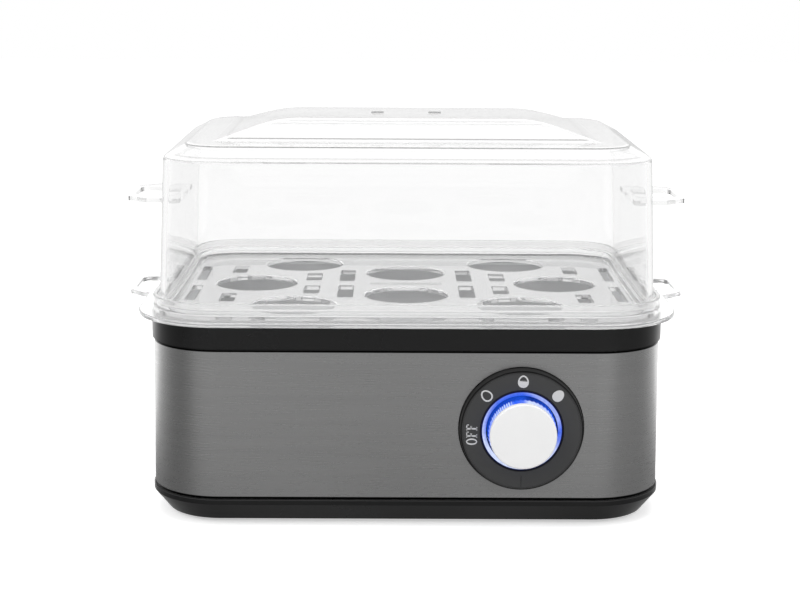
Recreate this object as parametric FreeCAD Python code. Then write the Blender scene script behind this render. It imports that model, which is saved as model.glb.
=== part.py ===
"""Electric egg cooker: heated base with one knob, lift-off egg rack and tall clear lid.

Millimetres. X runs along the front, Y towards the back, Z up. The pieces are drawn about the
middle of the case and moved once, when they are written, so that the origin is the middle of the
footprint box, on the table. Everything is drawn at rest: rack and lid in place, knob at OFF.
"""
import FreeCAD, Part
import math
import os
from FreeCAD import Vector

# Case: tray, band and collar follow one rectangle with round corners
case_length = 213.4
case_depth = 162.8
case_corner = 29.5
cut_over = 1.0
edge_match = 0.001
turn_play = 0.3
lift_play = 0.3
screw_play = 0.05

# Feet and tray
foot_height = 1.5
foot_sunk = 0.8
foot_radius = 7.0
foot_stem_radius = 2.2
foot_barb = 1.2
tray_height = 10.4
tray_spread = 0.5
tray_floor = 2.2
tray_strip = 2.4
tray_slope = 6.3
tray_foot_round = 1.2
floor_slot_length = 26.0
floor_slot_width = 3.0
floor_slot_corner = 1.3
floor_slot_pitch = 9.0
floor_slots = 5

# Steel band, with the shadow gaps above and below it
seam_height = 0.8
seam_depth = 0.3
band_height = 61.7
band_flare = 0.8
band_sheet = 0.6
lip_height = 5.0
lip_sheet = 1.6
lip_play = 0.2

# Collar
collar_height = 9.5
collar_round = 0.8
bore_inset = 4.7
bore_depth = 3.7
ledge_height = 2.5
ledge_inset = 11.5

# Case screws, in the corners
screw_reach = 19.2
boss_radius = 3.5
post_radius = 4.4
post_height = 20.0
recess_radius = 3.0
recess_depth = 9.0
case_screw_radius = 1.75
case_screw_length = 24.0
screw_head_radius = 2.8
screw_head_height = 2.0

# Heating pan and what hangs under it
seal_height = 1.2
seal_inset = 7.8
pan_sheet = 1.2
pan_depth = 18.5
pan_mouth_inset = 13.4
pan_slope = 7.6
pan_corner = 16.0
pan_floor_round = 5.0
spreader_inset_x = 37.0
spreader_inset_y = 35.4
spreader_corner = 20.0
spreader_height = 4.0
element_radius = 3.3
element_edge_x = 12.0
element_edge_y = 10.0
element_corner = 18.0
element_gap_half = 12.0
element_tail = 4.0
element_tail_bend = 8.0
groove_play = 0.1
pin_radius = 1.5
pin_length = 6.0
tab_width = 6.3
tab_length = 8.0
tab_sheet = 0.8
stud_radius = 2.0
stud_length = 22.0
stud_share = 0.66
nut_flats = 7.0
nut_height = 3.2
sleeve_radius = 3.5
sleeve_length = 9.7
shield_inset = 39.0
shield_corner = 12.0
shield_sheet = 0.6
shield_edge = 5.0
limiter_radius = 8.0
limiter_height = 8.0
limiter_flange_radius = 10.5
limiter_flange = 1.0
limiter_tab_reach = 4.5
limiter_tab_width = 3.15
fuse_radius = 2.0
fuse_length = 12.0
fuse_share = 0.58
fuse_pin_radius = 0.5
fuse_pin_length = 5.0
clip_width = 8.0
clip_sheet = 0.8
clip_foot = 6.0

# Dial: surround, plate, lights, carrier, regulator and knob
dial_x = 46.8
dial_height = 42.4
dial_proud = 4.0
dial_radius = 25.5
dial_draft = 0.5
dial_edge_round = 0.4
dial_web = 2.5
dial_wall = 1.8
dial_inside = 4.0
dial_flange = 2.0
dial_flange_sheet = 1.5
plate_lip = 1.0
plate_sheet = 0.8
plate_width = 8.8
ring_width = 2.15
ring_flange = 1.6
ring_flange_sheet = 1.2
ring_round = 0.5
board_inset = 3.5
board_bore = 8.5
board_sheet = 1.2
lamp_inset = 1.0
lamp_length = 3.2
lamp_width = 2.4
lamp_height = 1.5
lamps = 6
lamp_gap = 0.6
carrier_sheet = 2.2
carrier_gap = 1.2
carrier_foot_half = 20.0
carrier_tab = 12.0
carrier_tab_sheet = 2.4
carrier_post_radius = 4.0
carrier_post_height = 4.0
carrier_screw_spacing = 28.0
carrier_screw_radius = 1.5
carrier_screw_length = 6.0
carrier_head_radius = 2.6
carrier_head_height = 1.8
bushing_radius = 5.0
bushing_length = 6.4
regulator_nut_flats = 12.0
regulator_nut_height = 2.6
regulator_radius = 14.5
regulator_height = 9.0
regulator_cap_radius = 11.5
regulator_cap_height = 7.0
regulator_tab_reach = 8.0
spindle_radius = 3.0
spindle_flat = 2.2
spindle_flat_length = 9.0
spindle_depth = 7.0
knob_play = 0.25
knob_draft = 0.55
knob_reach = 9.0
knob_foot_depth = 4.0
knob_wall = 1.6
knob_web = 1.6
knob_ribs = 48
knob_rib_height = 0.25
hub_radius = 5.2
hub_length = 10.0
cap_inset = 0.15
cap_height = 2.2
cap_round = 0.8
clip_ring_sheet = 0.5
clip_ring_length = 4.0
clip_ring_gap = 2.0

# Wiring and the entry for the cord
entry_x = -62.0
entry_height = 28.0
entry_bore_radius = 3.5
entry_radius = 5.5
entry_groove = 1.2
entry_cheek_radius = 7.5
entry_cheek = 1.8
entry_inside = 5.0
entry_slack = 0.25
block_x = -42.0
block_y = 34.0
block_length = 32.0
block_width = 16.0
block_height = 13.0
block_poles = 3
block_hole_radius = 1.9
clamp_gap = 10.0
clamp_width = 7.0
clamp_sheet = 2.6
clamp_span = 18.0
clamp_post_radius = 3.6
lead_radius = 1.1
lead_bend = 7.0
lead_step = 16.0
lead_bend_share = 0.45

# Egg rack
rack_sheet = 2.0
rack_flange = 5.4
rack_rib_depth = 3.2
rack_rib_play = 0.5
rack_rib_sheet = 1.8
rim_inset_x = 0.95
rim_inset_y = 0.5
rim_corner = 27.2
rim_sheet = 1.9
rim_height = 6.5
rim_round = 0.6
flange_round = 0.5
shelf_round = 0.8
shelf_height = 3.3
shelf_width = 4.6
deck_round = 1.8
hole_radius = 18.0
hole_bevel = 0.5
slot_corner = 1.0
web_length = 32.0
web_width = 0.9
web_height = 0.5
loop_reach = 8.9
loop_half = 17.3
loop_root_half = 24.0
loop_knee = 2.0
loop_bar = 2.0
loop_opening_half = 12.5
loop_opening_corner = 4.0
loop_corner = 1.0
loop_start = 1.0

# Lid
lid_sheet = 2.0
lid_inset_x = 3.7
lid_inset_y = 3.2
lid_bottom_corner = 24.0
lid_draft = 2.4
lid_wall_height = 59.9
shoulder_rise = 5.1
shoulder_run_x = 9.5
shoulder_run_y = 11.5
shoulder_corner = 16.0
crown_rise = 7.8
crown_arc = 57.0
crown_inset_x = 22.5
crown_inset_y = 31.2
crown_run_x = 34.0
crown_run_y = 20.3
vent_length = 9.0
vent_width = 5.6
vent_corner = 1.5
vent_left = -13.0
vent_right = 12.3
vent_y = 2.5
lid_edge_round = 2.4
lid_foot_round = 1.2
lid_rim_round = 0.6
lid_inner_round = 0.4
lid_loop_height = 37.8
lid_loop_knee = 10.5
lid_loop_reach = 19.6
lid_loop_half = 17.5
lid_loop_root_half = 24.5
lid_loop_sunk = 0.5
lid_opening_start = 3.6

# Egg holes, and slots of the right back quarter as low and high X and Y
hole_column_x = 47.7
hole_column_y = 48.1
hole_end_x = 66.7
hole_middle_y = 25.7
slot_places = {
    "middle": (23.0, 30.0, 5.1, 32.1),
    "inner": (38.0, 45.1, 6.1, 23.9),
    "corner": (73.4, 80.1, 24.2, 41.9),
    "end": (90.5, 95.5, 6.5, 39.5),
}

# Heights above the table
tray_rim = foot_height + tray_height
band_bottom = tray_rim + seam_height
band_top = band_bottom + band_height
collar_bottom = band_top + seam_height
collar_top = collar_bottom + collar_height
ledge_top = collar_top - bore_depth
ledge_bottom = ledge_top - ledge_height
pan_flange = ledge_top + seal_height
pan_top = pan_flange + pan_sheet
pan_floor_top = pan_top - pan_depth
pan_underside = pan_floor_top - pan_sheet
spreader_bottom = pan_underside - spreader_height
deck_bottom = collar_top + lift_play
deck_top = deck_bottom + rack_sheet
shelf_top = deck_top + shelf_height
rim_top = deck_top + rim_height
lid_bottom = shelf_top + lift_play
wall_top = lid_bottom + lid_wall_height
shoulder_top = wall_top + shoulder_rise
crown_top = shoulder_top + crown_rise

# Lengths and radii that follow from the case and the dial
rim_length = case_length - 2 * rim_inset_x
rim_depth = case_depth - 2 * rim_inset_y
lid_bottom_length = case_length - 2 * lid_inset_x
lid_bottom_depth = case_depth - 2 * lid_inset_y
crown_foot_x = lid_bottom_length / 2 - crown_inset_x
crown_foot_y = lid_bottom_depth / 2 - crown_inset_y
crown_flat_half = crown_foot_x - crown_run_x
crown_top_y = crown_foot_y - crown_run_y
ring_radius = dial_radius - plate_width
board_radius = dial_radius - board_inset
lamp_reach = ring_radius - lamp_inset
knob_foot_radius = ring_radius - screw_play - ring_width - knob_play
knob_head_radius = knob_foot_radius - knob_draft
cap_radius = knob_head_radius - cap_inset

# Insets from the collar's outline
lip_out_low = band_sheet + lip_play
lip_in_low = lip_out_low + lip_sheet
lip_out_high = band_flare + band_sheet + lip_play
lip_in_high = lip_out_high + lip_sheet


def rounded_loop(points, radii):
    """Closed wire through points, each corner rounded by its own radius (0 keeps it sharp)."""
    return Part.Wire(rounded_edges(points, radii, True))


def rounded_edges(points, radii, closed):
    """Lines and tangent arcs along points, as a list of edges."""
    count = len(points)
    starts, ends, middles = [], [], []
    for i, point in enumerate(points):
        end_of_open = not closed and i in (0, count - 1)
        if end_of_open or radii[i] <= 0:
            starts.append(point)
            ends.append(point)
            middles.append(None)
            continue
        back = (points[i - 1] - point).normalize()
        ahead = (points[(i + 1) % count] - point).normalize()
        half = back.getAngle(ahead) / 2
        reach = radii[i] / math.tan(half)
        towards = (back + ahead).normalize()
        centre = point + towards * (radii[i] / math.sin(half))
        starts.append(point + back * reach)
        ends.append(point + ahead * reach)
        middles.append(centre - towards * radii[i])
    edges = []
    for i in range(count):
        if middles[i] is not None:
            edges.append(Part.Arc(starts[i], middles[i], ends[i]).toShape())
        if closed or i < count - 1:
            following = starts[(i + 1) % count]
            if (following - ends[i]).Length > Part.Precision.confusion():
                edges.append(Part.LineSegment(ends[i], following).toShape())
    return edges


def outline(half_x, half_y, corner, height):
    """Level rectangle with round corners about the case's middle, as a closed wire."""
    signs = [(-1, -1), (1, -1), (1, 1), (-1, 1)]
    points = [Vector(sx * half_x, sy * half_y, height) for sx, sy in signs]
    return rounded_loop(points, [corner] * len(points))


def slab(half_x, half_y, corner, low, high):
    """Upright prism of an outline."""
    return Part.Face(outline(half_x, half_y, corner, low)).extrude(Vector(0, 0, high - low))


def case_slab(inset, low, high):
    """Prism of the case's outline moved inwards by inset."""
    return slab(case_length / 2 - inset, case_depth / 2 - inset, case_corner - inset, low, high)


def case_outline(inset, height):
    """The case's outline moved inwards by inset."""
    return outline(case_length / 2 - inset, case_depth / 2 - inset, case_corner - inset, height)


def loft(*wires):
    """Solid with straight sides through level outlines."""
    return Part.makeLoft(list(wires), True, True)


def rod(radius, low, high, x=0, y=0):
    """Upright cylinder between two heights."""
    return Part.makeCylinder(radius, high - low, Vector(x, y, low))


def box(x_low, x_high, y_low, y_high, z_low, z_high):
    """Box between two corners."""
    size = (x_high - x_low, y_high - y_low, z_high - z_low)
    return Part.makeBox(*size, Vector(x_low, y_low, z_low))


def hexagon(flats, low, high, x=0, y=0):
    """Upright hexagonal prism, measured across its flats."""
    radius = flats / 2 / math.cos(math.pi / 6)
    points = [
        Vector(x + radius * math.cos(math.pi / 3 * i), y + radius * math.sin(math.pi / 3 * i), low)
        for i in range(6)
    ]
    face = Part.Face(Part.makePolygon(points + points[:1]))
    return face.extrude(Vector(0, 0, high - low))


def turned(profile):
    """Solid of revolution about Z of a closed outline of (radius, height) points."""
    points = [Vector(radius, 0, height) for radius, height in profile]
    face = Part.Face(Part.makePolygon(points + points[:1]))
    return face.revolve(Vector(0, 0, 0), Vector(0, 0, 1), 360)


def edges_at(shape, height):
    """Edges of a shape that lie level at one height."""
    level = []
    for edge in shape.Edges:
        bounds = edge.BoundBox
        if abs(bounds.ZMin - height) < edge_match and abs(bounds.ZMax - height) < edge_match:
            level.append(edge)
    return level


def rounded_at(shape, height, radius):
    """The shape with its level edges at one height rounded."""
    return shape.makeFillet(radius, edges_at(shape, height))


def together(shapes):
    """One solid from shapes that touch."""
    whole = shapes[0].fuse(shapes[1:]) if len(shapes) > 1 else shapes[0]
    return whole.removeSplitter()


def corners_of(reach_x, reach_y):
    """The four places at plus and minus two distances."""
    return [(sx * reach_x, sy * reach_y) for sx in (-1, 1) for sy in (-1, 1)]


spreader_half_x = case_length / 2 - spreader_inset_x
spreader_half_y = case_depth / 2 - spreader_inset_y
stud_reach = (spreader_half_x - element_edge_x) * stud_share
fuse_x = stud_reach * fuse_share
corner_x = case_length / 2 - case_corner
corner_y = case_depth / 2 - case_corner
screw_step = screw_reach * math.sqrt(0.5)
screw_places = corners_of(corner_x + screw_step, corner_y + screw_step)
foot_places = corners_of(corner_x, corner_y)

# Dial pieces are drawn flat: x right, y up, z out of the band's face; then stood up at the front
band_inset_at_dial = band_flare * (dial_height - band_bottom) / band_height
band_face_y = -(case_depth / 2 - band_inset_at_dial)


def on_dial(shape):
    """Stand a flat dial piece up on the front of the case."""
    stood = shape.copy()
    stood.rotate(Vector(0, 0, 0), Vector(1, 0, 0), 90)
    stood.translate(Vector(dial_x, band_face_y, dial_height))
    return stood


band_back = -(band_inset_at_dial + band_sheet + band_flare)
dial_flange_back = band_back - dial_flange_sheet
carrier_front = dial_flange_back - dial_inside - carrier_gap - board_sheet
carrier_back = carrier_front - carrier_sheet
board_back = carrier_front + carrier_gap
board_front = board_back + board_sheet
lamp_front = board_front + lamp_height
cap_front = dial_proud + knob_reach
cap_back = cap_front - cap_height
knob_foot = dial_proud - knob_foot_depth
screw_floor = foot_height + tray_floor


def dial_notch():
    """Room that the mouldings leave for the surround's flange."""
    radius = dial_radius + dial_flange + turn_play
    return on_dial(rod(radius, dial_flange_back - cut_over, cut_over))


def rubber_feet():
    """Four pads with stems that snap through the tray."""
    feet = []
    for x, y in foot_places:
        pad = rod(foot_radius, 0, foot_height + foot_sunk, x, y)
        stem_top = foot_height + tray_floor + foot_barb
        stem = rod(foot_stem_radius, foot_height, stem_top, x, y)
        feet.append(together([pad, stem]))
    return Part.makeCompound(feet)


def base_tray():
    """Bottom moulding: upright strip on sloping sides, lip for the band, four posts."""
    strip = tray_rim - tray_strip
    sides = loft(case_outline(tray_slope - tray_spread, foot_height), case_outline(-tray_spread, strip))
    sides = rounded_at(sides, foot_height, tray_foot_round)
    shell = together([sides, case_slab(-tray_spread, strip, tray_rim)])
    ledge = case_slab(seam_depth, tray_rim, band_bottom)
    lip = case_slab(lip_out_low, band_bottom, band_bottom + lip_height)
    floor_inset = lip_in_low + tray_slope * (strip - screw_floor) / (strip - foot_height)
    hollow = together([
        loft(case_outline(floor_inset, screw_floor), case_outline(lip_in_low, strip)),
        case_slab(lip_in_low, strip, band_bottom + lip_height + cut_over),
    ])
    tray = together([shell, ledge, lip]).cut(hollow)
    posts = [rod(post_radius, screw_floor, foot_height + post_height, x, y) for x, y in screw_places]
    for x in (-carrier_screw_spacing / 2, carrier_screw_spacing / 2):
        top = screw_floor + carrier_post_height
        posts.append(rod(carrier_post_radius, screw_floor, top, dial_x + x, carrier_screw_y))
    for x in (entry_x - clamp_span / 2, entry_x + clamp_span / 2):
        posts.append(rod(clamp_post_radius, screw_floor, clamp_bottom, x, clamp_y))
    tray = together([tray] + posts)
    tools = []
    for x, y in screw_places:
        tools.append(rod(recess_radius, foot_height - cut_over, foot_height + recess_depth, x, y))
        hole = case_screw_radius + screw_play
        tools.append(rod(hole, foot_height, foot_height + post_height + cut_over, x, y))
    for x, y in foot_places:
        tools.append(rod(foot_radius + screw_play, 0, foot_height + foot_sunk, x, y))
        tools.append(rod(foot_stem_radius + screw_play, 0, screw_floor + cut_over, x, y))
    for x in (-carrier_screw_spacing / 2, carrier_screw_spacing / 2):
        hole = carrier_screw_radius + screw_play
        low = screw_floor + carrier_post_height + carrier_tab_sheet - carrier_screw_length
        tools.append(rod(hole, low, screw_floor + carrier_post_height + cut_over,
                         dial_x + x, carrier_screw_y))
    for x in (entry_x - clamp_span / 2, entry_x + clamp_span / 2):
        hole = carrier_screw_radius + screw_play
        low = clamp_bottom + clamp_sheet - carrier_screw_length
        tools.append(rod(hole, low, clamp_bottom + cut_over, x, clamp_y))
    for i in range(floor_slots):
        x = (i - (floor_slots - 1) / 2) * floor_slot_pitch
        slot = slab(floor_slot_width / 2, floor_slot_length / 2, floor_slot_corner,
                    0, screw_floor + cut_over)
        slot.translate(Vector(x, 0, 0))
        tools.append(slot)
    return tray.cut(tools + [dial_notch()])


def steel_band():
    """Sheet band, a little wider at its foot, with the holes for the dial and the cord entry."""
    outside = loft(case_outline(0, band_bottom), case_outline(band_flare, band_top))
    low, high = band_bottom - cut_over, band_top + cut_over
    slope = band_flare / band_height * cut_over
    inside = loft(case_outline(band_sheet - slope, low),
                  case_outline(band_flare + band_sheet + slope, high))
    band = outside.cut(inside)
    dial_hole = on_dial(rod(dial_radius + turn_play, band_back - cut_over, cut_over))
    entry_hole = along_entry(rod(entry_radius, -entry_inside - cut_over, entry_inside))
    return band.cut([dial_hole, entry_hole])


def top_collar():
    """Top moulding: clamps the band, holds the pan on its ledge, with four bosses below."""
    ring = rounded_at(case_slab(0, collar_bottom, collar_top), collar_top, collar_round)
    neck = case_slab(band_flare + seam_depth, band_top, collar_bottom)
    lip = case_slab(lip_out_high, band_top - lip_height, band_top)
    collar = together([ring, neck, lip])
    under = case_slab(lip_in_high, band_top - lip_height - cut_over, ledge_bottom)
    bore = case_slab(bore_inset, ledge_top, collar_top + cut_over)
    middle = case_slab(ledge_inset, ledge_bottom - cut_over, ledge_top + cut_over)
    collar = collar.cut([under, bore, middle])
    low = foot_height + post_height
    bosses = [rod(boss_radius, low, ledge_bottom, x, y) for x, y in screw_places]
    holes = []
    for x, y in screw_places:
        top = foot_height + recess_depth + case_screw_length + cut_over
        holes.append(rod(case_screw_radius + screw_play, low - cut_over, top, x, y))
    return together([collar] + bosses).cut(holes + [dial_notch()])


def case_screws():
    """Four pan-head screws, from below through the tray's posts into the collar's bosses."""
    screws = []
    for x, y in screw_places:
        seat = foot_height + recess_depth
        head = rod(screw_head_radius, seat - screw_head_height, seat, x, y)
        shank = rod(case_screw_radius, seat, seat + case_screw_length, x, y)
        screws.append(together([head, shank]))
    return Part.makeCompound(screws)


def pan_seal():
    """Flat silicone ring between the collar's ledge and the pan's flange."""
    return case_slab(seal_inset, ledge_top, pan_flange).cut(
        case_slab(ledge_inset, ledge_top - cut_over, pan_flange + cut_over))


def heating_pan():
    """Drawn pan with a flat flange and sloped sides."""
    mouth_x = case_length / 2 - pan_mouth_inset
    mouth_y = case_depth / 2 - pan_mouth_inset
    foot_x, foot_y = mouth_x - pan_slope, mouth_y - pan_slope
    flange = case_slab(seal_inset, pan_flange, pan_top)
    outer = loft(outline(foot_x + pan_sheet, foot_y + pan_sheet, pan_corner, pan_underside),
                 outline(mouth_x + pan_sheet, mouth_y + pan_sheet, pan_corner, pan_flange))
    outer = rounded_at(outer, pan_underside, pan_floor_round + pan_sheet)
    inner = loft(outline(foot_x, foot_y, pan_corner - pan_sheet, pan_floor_top),
                 outline(mouth_x, mouth_y, pan_corner - pan_sheet, pan_top))
    inner = rounded_at(inner, pan_floor_top, pan_floor_round)
    return together([flange, outer]).cut(inner)


def element_path():
    """Centre line of the tubular element: one turn, open at the back, with two straight tails."""
    half_x, half_y = spreader_half_x - element_edge_x, spreader_half_y - element_edge_y
    gap, tail = element_gap_half, spreader_half_y + element_tail
    places = [(gap, tail), (gap, half_y), (half_x, half_y), (half_x, -half_y),
              (-half_x, -half_y), (-half_x, half_y), (-gap, half_y), (-gap, tail)]
    points = [Vector(x, y, spreader_bottom) for x, y in places]
    bend, corner = element_tail_bend, element_corner
    radii = [0, bend, corner, corner, corner, corner, bend, 0]
    return Part.Wire(rounded_edges(points, radii, False))


def tube_along(path, radius):
    """Round bar along a wire."""
    edge = path.OrderedEdges[0]
    start = edge.valueAt(edge.FirstParameter)
    tangent = edge.tangentAt(edge.FirstParameter)
    if path.OrderedVertexes[0].Point != start:
        start = edge.valueAt(edge.LastParameter)
        tangent = edge.tangentAt(edge.LastParameter)
    ring = Part.Wire(Part.makeCircle(radius, start, tangent))
    return path.makePipeShell([ring], True, False)


def heating_element():
    """Tubular element, pressed half into the spreader plate."""
    return tube_along(element_path(), element_radius)


def spreader_plate():
    """Aluminium plate under the pan, grooved for the element and drilled for the studs."""
    plate = slab(spreader_half_x, spreader_half_y, spreader_corner,
                 spreader_bottom, pan_underside)
    groove = tube_along(element_path(), element_radius + groove_play)
    holes = [rod(stud_radius + screw_play, spreader_bottom - cut_over, pan_underside + cut_over, x)
             for x in (-stud_reach, stud_reach)]
    return plate.cut([groove] + holes)


def element_terminals():
    """Cold pins out of the element's ends, each with a flat push-on tab."""
    pieces = []
    start = spreader_half_y + element_tail
    for x in (-element_gap_half, element_gap_half):
        pin = Part.makeCylinder(pin_radius, pin_length, Vector(x, start, spreader_bottom),
                                Vector(0, 1, 0))
        low = spreader_bottom - tab_sheet / 2
        tab = box(x - tab_width / 2, x + tab_width / 2, start + pin_length / 2,
                  start + pin_length / 2 + tab_length, low, low + tab_sheet)
        pieces.append(together([pin, tab]))
    return Part.makeCompound(pieces)


def pan_studs():
    """Two threaded studs welded under the pan."""
    return Part.makeCompound([rod(stud_radius, pan_underside - stud_length, pan_underside, x)
                              for x in (-stud_reach, stud_reach)])


upper_nut_bottom = spreader_bottom - nut_height
shield_top = upper_nut_bottom - sleeve_length
shield_bottom = shield_top - shield_sheet


def stud_nuts():
    """Upper nuts press the plate to the pan, lower nuts carry the heat shield."""
    nuts = []
    for x in (-stud_reach, stud_reach):
        for top in (spreader_bottom, shield_bottom):
            nut = hexagon(nut_flats, top - nut_height, top, x)
            bore = rod(stud_radius + screw_play, top - nut_height - cut_over, top + cut_over, x)
            nuts.append(nut.cut(bore))
    return Part.makeCompound(nuts)


def stud_sleeves():
    """Spacers that keep the shield away from the element."""
    sleeves = []
    for x in (-stud_reach, stud_reach):
        bore = rod(stud_radius + screw_play, shield_top - cut_over, upper_nut_bottom + cut_over, x)
        sleeves.append(rod(sleeve_radius, shield_top, upper_nut_bottom, x).cut(bore))
    return Part.makeCompound(sleeves)


def heat_shield():
    """Bent sheet under the element, edges turned up."""
    half_x, half_y = case_length / 2 - shield_inset, case_depth / 2 - shield_inset
    rise = shield_top + shield_edge
    pan = slab(half_x, half_y, shield_corner, shield_bottom, rise)
    inside = slab(half_x - shield_sheet, half_y - shield_sheet, shield_corner - shield_sheet,
                  shield_top, rise + cut_over)
    holes = [rod(stud_radius + screw_play, shield_bottom - cut_over, shield_top + cut_over, x)
             for x in (-stud_reach, stud_reach)]
    return pan.cut([inside] + holes)


def limit_thermostat():
    """Snap-disc cut-out against the spreader plate, with two tabs."""
    flange = rod(limiter_flange_radius, spreader_bottom - limiter_flange, spreader_bottom)
    cup = rod(limiter_radius, spreader_bottom - limiter_height, spreader_bottom)
    tabs = []
    for x in (-limiter_tab_reach, limiter_tab_reach):
        top = spreader_bottom - limiter_height
        tabs.append(box(x - tab_sheet / 2, x + tab_sheet / 2, -limiter_tab_width / 2, limiter_tab_width / 2,
                        top - limiter_tab_width / 2, top))
    return together([flange, cup] + tabs)


def thermal_fuse():
    """One-shot fuse, lying under the plate, with a wire out of each end."""
    centre = spreader_bottom - fuse_radius
    body = Part.makeCylinder(fuse_radius, fuse_length, Vector(fuse_x, -fuse_length / 2, centre),
                             Vector(0, 1, 0))
    length = fuse_length + 2 * fuse_pin_length
    wire = Part.makeCylinder(fuse_pin_radius, length, Vector(fuse_x, -length / 2, centre),
                             Vector(0, 1, 0))
    return together([body, wire])


def fuse_clip():
    """Sheet strap that holds the fuse to the plate."""
    inner = fuse_radius + screw_play
    outer = inner + clip_sheet
    centre = spreader_bottom - fuse_radius
    low = centre - outer
    block = box(fuse_x - outer, fuse_x + outer, -clip_width / 2, clip_width / 2,
                low, spreader_bottom)
    foot_low = spreader_bottom - clip_sheet
    foot = box(fuse_x - outer - clip_foot, fuse_x + outer, -clip_width / 2, clip_width / 2,
               foot_low, spreader_bottom)
    length = clip_width + 2 * cut_over
    hollow = Part.makeCylinder(inner, length, Vector(fuse_x, -length / 2, centre), Vector(0, 1, 0))
    mouth = box(fuse_x - inner, fuse_x + inner, -length / 2, length / 2,
                centre, spreader_bottom + cut_over)
    return together([block, foot]).cut([hollow, mouth])


def dial_surround():
    """Black housing ring that stands out of the band, with a flange behind it."""
    inner = dial_radius - dial_wall
    face = dial_radius - dial_draft
    lip = face - plate_lip
    edge = dial_edge_round
    profile = [
        (ring_radius, dial_proud - dial_web),
        (inner, dial_proud - dial_web),
        (inner, dial_flange_back),
        (dial_radius + dial_flange, dial_flange_back),
        (dial_radius + dial_flange, band_back),
        (dial_radius, band_back),
        (dial_radius, 0),
        (face, dial_proud - edge),
        (face - edge / 2, dial_proud),
        (lip, dial_proud),
        (lip, dial_proud - plate_sheet),
        (ring_radius, dial_proud - plate_sheet),
    ]
    return on_dial(turned(profile))


def dial_plate():
    """Printed face ring, let into the front of the surround."""
    outer = dial_radius - dial_draft - plate_lip - screw_play
    back = dial_proud - plate_sheet
    plate = rod(outer, back, dial_proud).cut(rod(ring_radius, back - cut_over, dial_proud + cut_over))
    return on_dial(plate)


def light_ring():
    """Clear ring round the foot of the knob, lit from the board behind it."""
    outer = ring_radius - screw_play
    inner = outer - ring_width
    back = lamp_front + lamp_gap
    flange = dial_proud - dial_web - screw_play
    profile = [
        (inner, back),
        (outer + ring_flange, back),
        (outer + ring_flange, back + ring_flange_sheet),
        (outer + ring_flange, flange),
        (outer, flange),
        (outer, dial_proud - ring_round),
        (outer - ring_round, dial_proud),
        (inner + ring_round, dial_proud),
        (inner, dial_proud - ring_round),
    ]
    return on_dial(turned(profile))


def light_board():
    """Round circuit board on three pegs of the carrier."""
    board = rod(board_radius, board_back, board_front)
    return on_dial(board.cut(rod(board_bore, board_back - cut_over, board_front + cut_over)))


def lights():
    """Blue lamps on the board, behind the clear ring."""
    pieces = []
    for i in range(lamps):
        lamp = box(lamp_reach - lamp_width / 2, lamp_reach + lamp_width / 2,
                   -lamp_length / 2, lamp_length / 2, board_front, lamp_front)
        lamp.rotate(Vector(0, 0, 0), Vector(0, 0, 1), 360 / lamps * (i + 0.5))
        pieces.append(on_dial(lamp))
    return Part.makeCompound(pieces)


carrier_tab_bottom = screw_floor + carrier_post_height
carrier_screw_y = band_face_y - carrier_back + carrier_tab / 2


def dial_carrier():
    """Plastic cup behind the surround: holds board and regulator, stands on the tray's posts."""
    outer = dial_radius + dial_flange
    profile = [
        (bushing_radius + screw_play, carrier_back),
        (outer, carrier_back),
        (outer, dial_flange_back),
        (outer - dial_wall, dial_flange_back),
        (outer - dial_wall, carrier_front),
        (bushing_radius + screw_play, carrier_front),
    ]
    cup = on_dial(turned(profile))
    plate_y = band_face_y - carrier_front
    half = carrier_foot_half
    web = box(dial_x - half, dial_x + half, plate_y, plate_y + carrier_sheet,
              carrier_tab_bottom, dial_height - bushing_radius - regulator_radius / 2)
    tab = box(dial_x - half, dial_x + half, plate_y, plate_y + carrier_sheet + carrier_tab,
              carrier_tab_bottom, carrier_tab_bottom + carrier_tab_sheet)
    pegs = []
    for i in range(3):
        angle = math.radians(120 * i + 90)
        reach = (board_bore + board_radius) / 2 + lamp_width
        peg = rod(lamp_height, carrier_front, board_back,
                  reach * math.cos(angle), reach * math.sin(angle))
        pegs.append(on_dial(peg))
    holes = []
    for x in (-carrier_screw_spacing / 2, carrier_screw_spacing / 2):
        holes.append(rod(carrier_screw_radius + screw_play, carrier_tab_bottom - cut_over,
                         carrier_tab_bottom + carrier_tab_sheet + cut_over,
                         dial_x + x, carrier_screw_y))
    return together([cup, web, tab] + pegs).cut(holes)


def small_screws(places, seat):
    """Pan-head screws, heads resting at one height."""
    screws = []
    for x, y in places:
        head = rod(carrier_head_radius, seat, seat + carrier_head_height, x, y)
        shank = rod(carrier_screw_radius, seat - carrier_screw_length, seat, x, y)
        screws.append(together([head, shank]))
    return Part.makeCompound(screws)


def carrier_screws():
    """Two screws through the carrier's foot into the tray."""
    half = carrier_screw_spacing / 2
    places = [(dial_x - half, carrier_screw_y), (dial_x + half, carrier_screw_y)]
    return small_screws(places, carrier_tab_bottom + carrier_tab_sheet)


def regulator_body():
    """Bimetal regulator: threaded bushing, ceramic base, contact cap and two tabs."""
    back = carrier_back - regulator_height
    bore = spindle_radius + turn_play / 2
    profile = [
        (bore, carrier_back - spindle_depth),
        (0, carrier_back - spindle_depth),
        (0, back - regulator_cap_height),
        (regulator_cap_radius, back - regulator_cap_height),
        (regulator_cap_radius, back),
        (regulator_radius, back),
        (regulator_radius, carrier_back),
        (bushing_radius, carrier_back),
        (bushing_radius, carrier_back + bushing_length),
        (bore, carrier_back + bushing_length),
    ]
    body = turned(profile)
    tabs = []
    for x in (-regulator_tab_reach, regulator_tab_reach):
        tabs.append(box(x - tab_sheet / 2, x + tab_sheet / 2, -tab_width / 2, tab_width / 2,
                        back - regulator_cap_height - tab_length, back - regulator_cap_height))
    return on_dial(together([body] + tabs))


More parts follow.
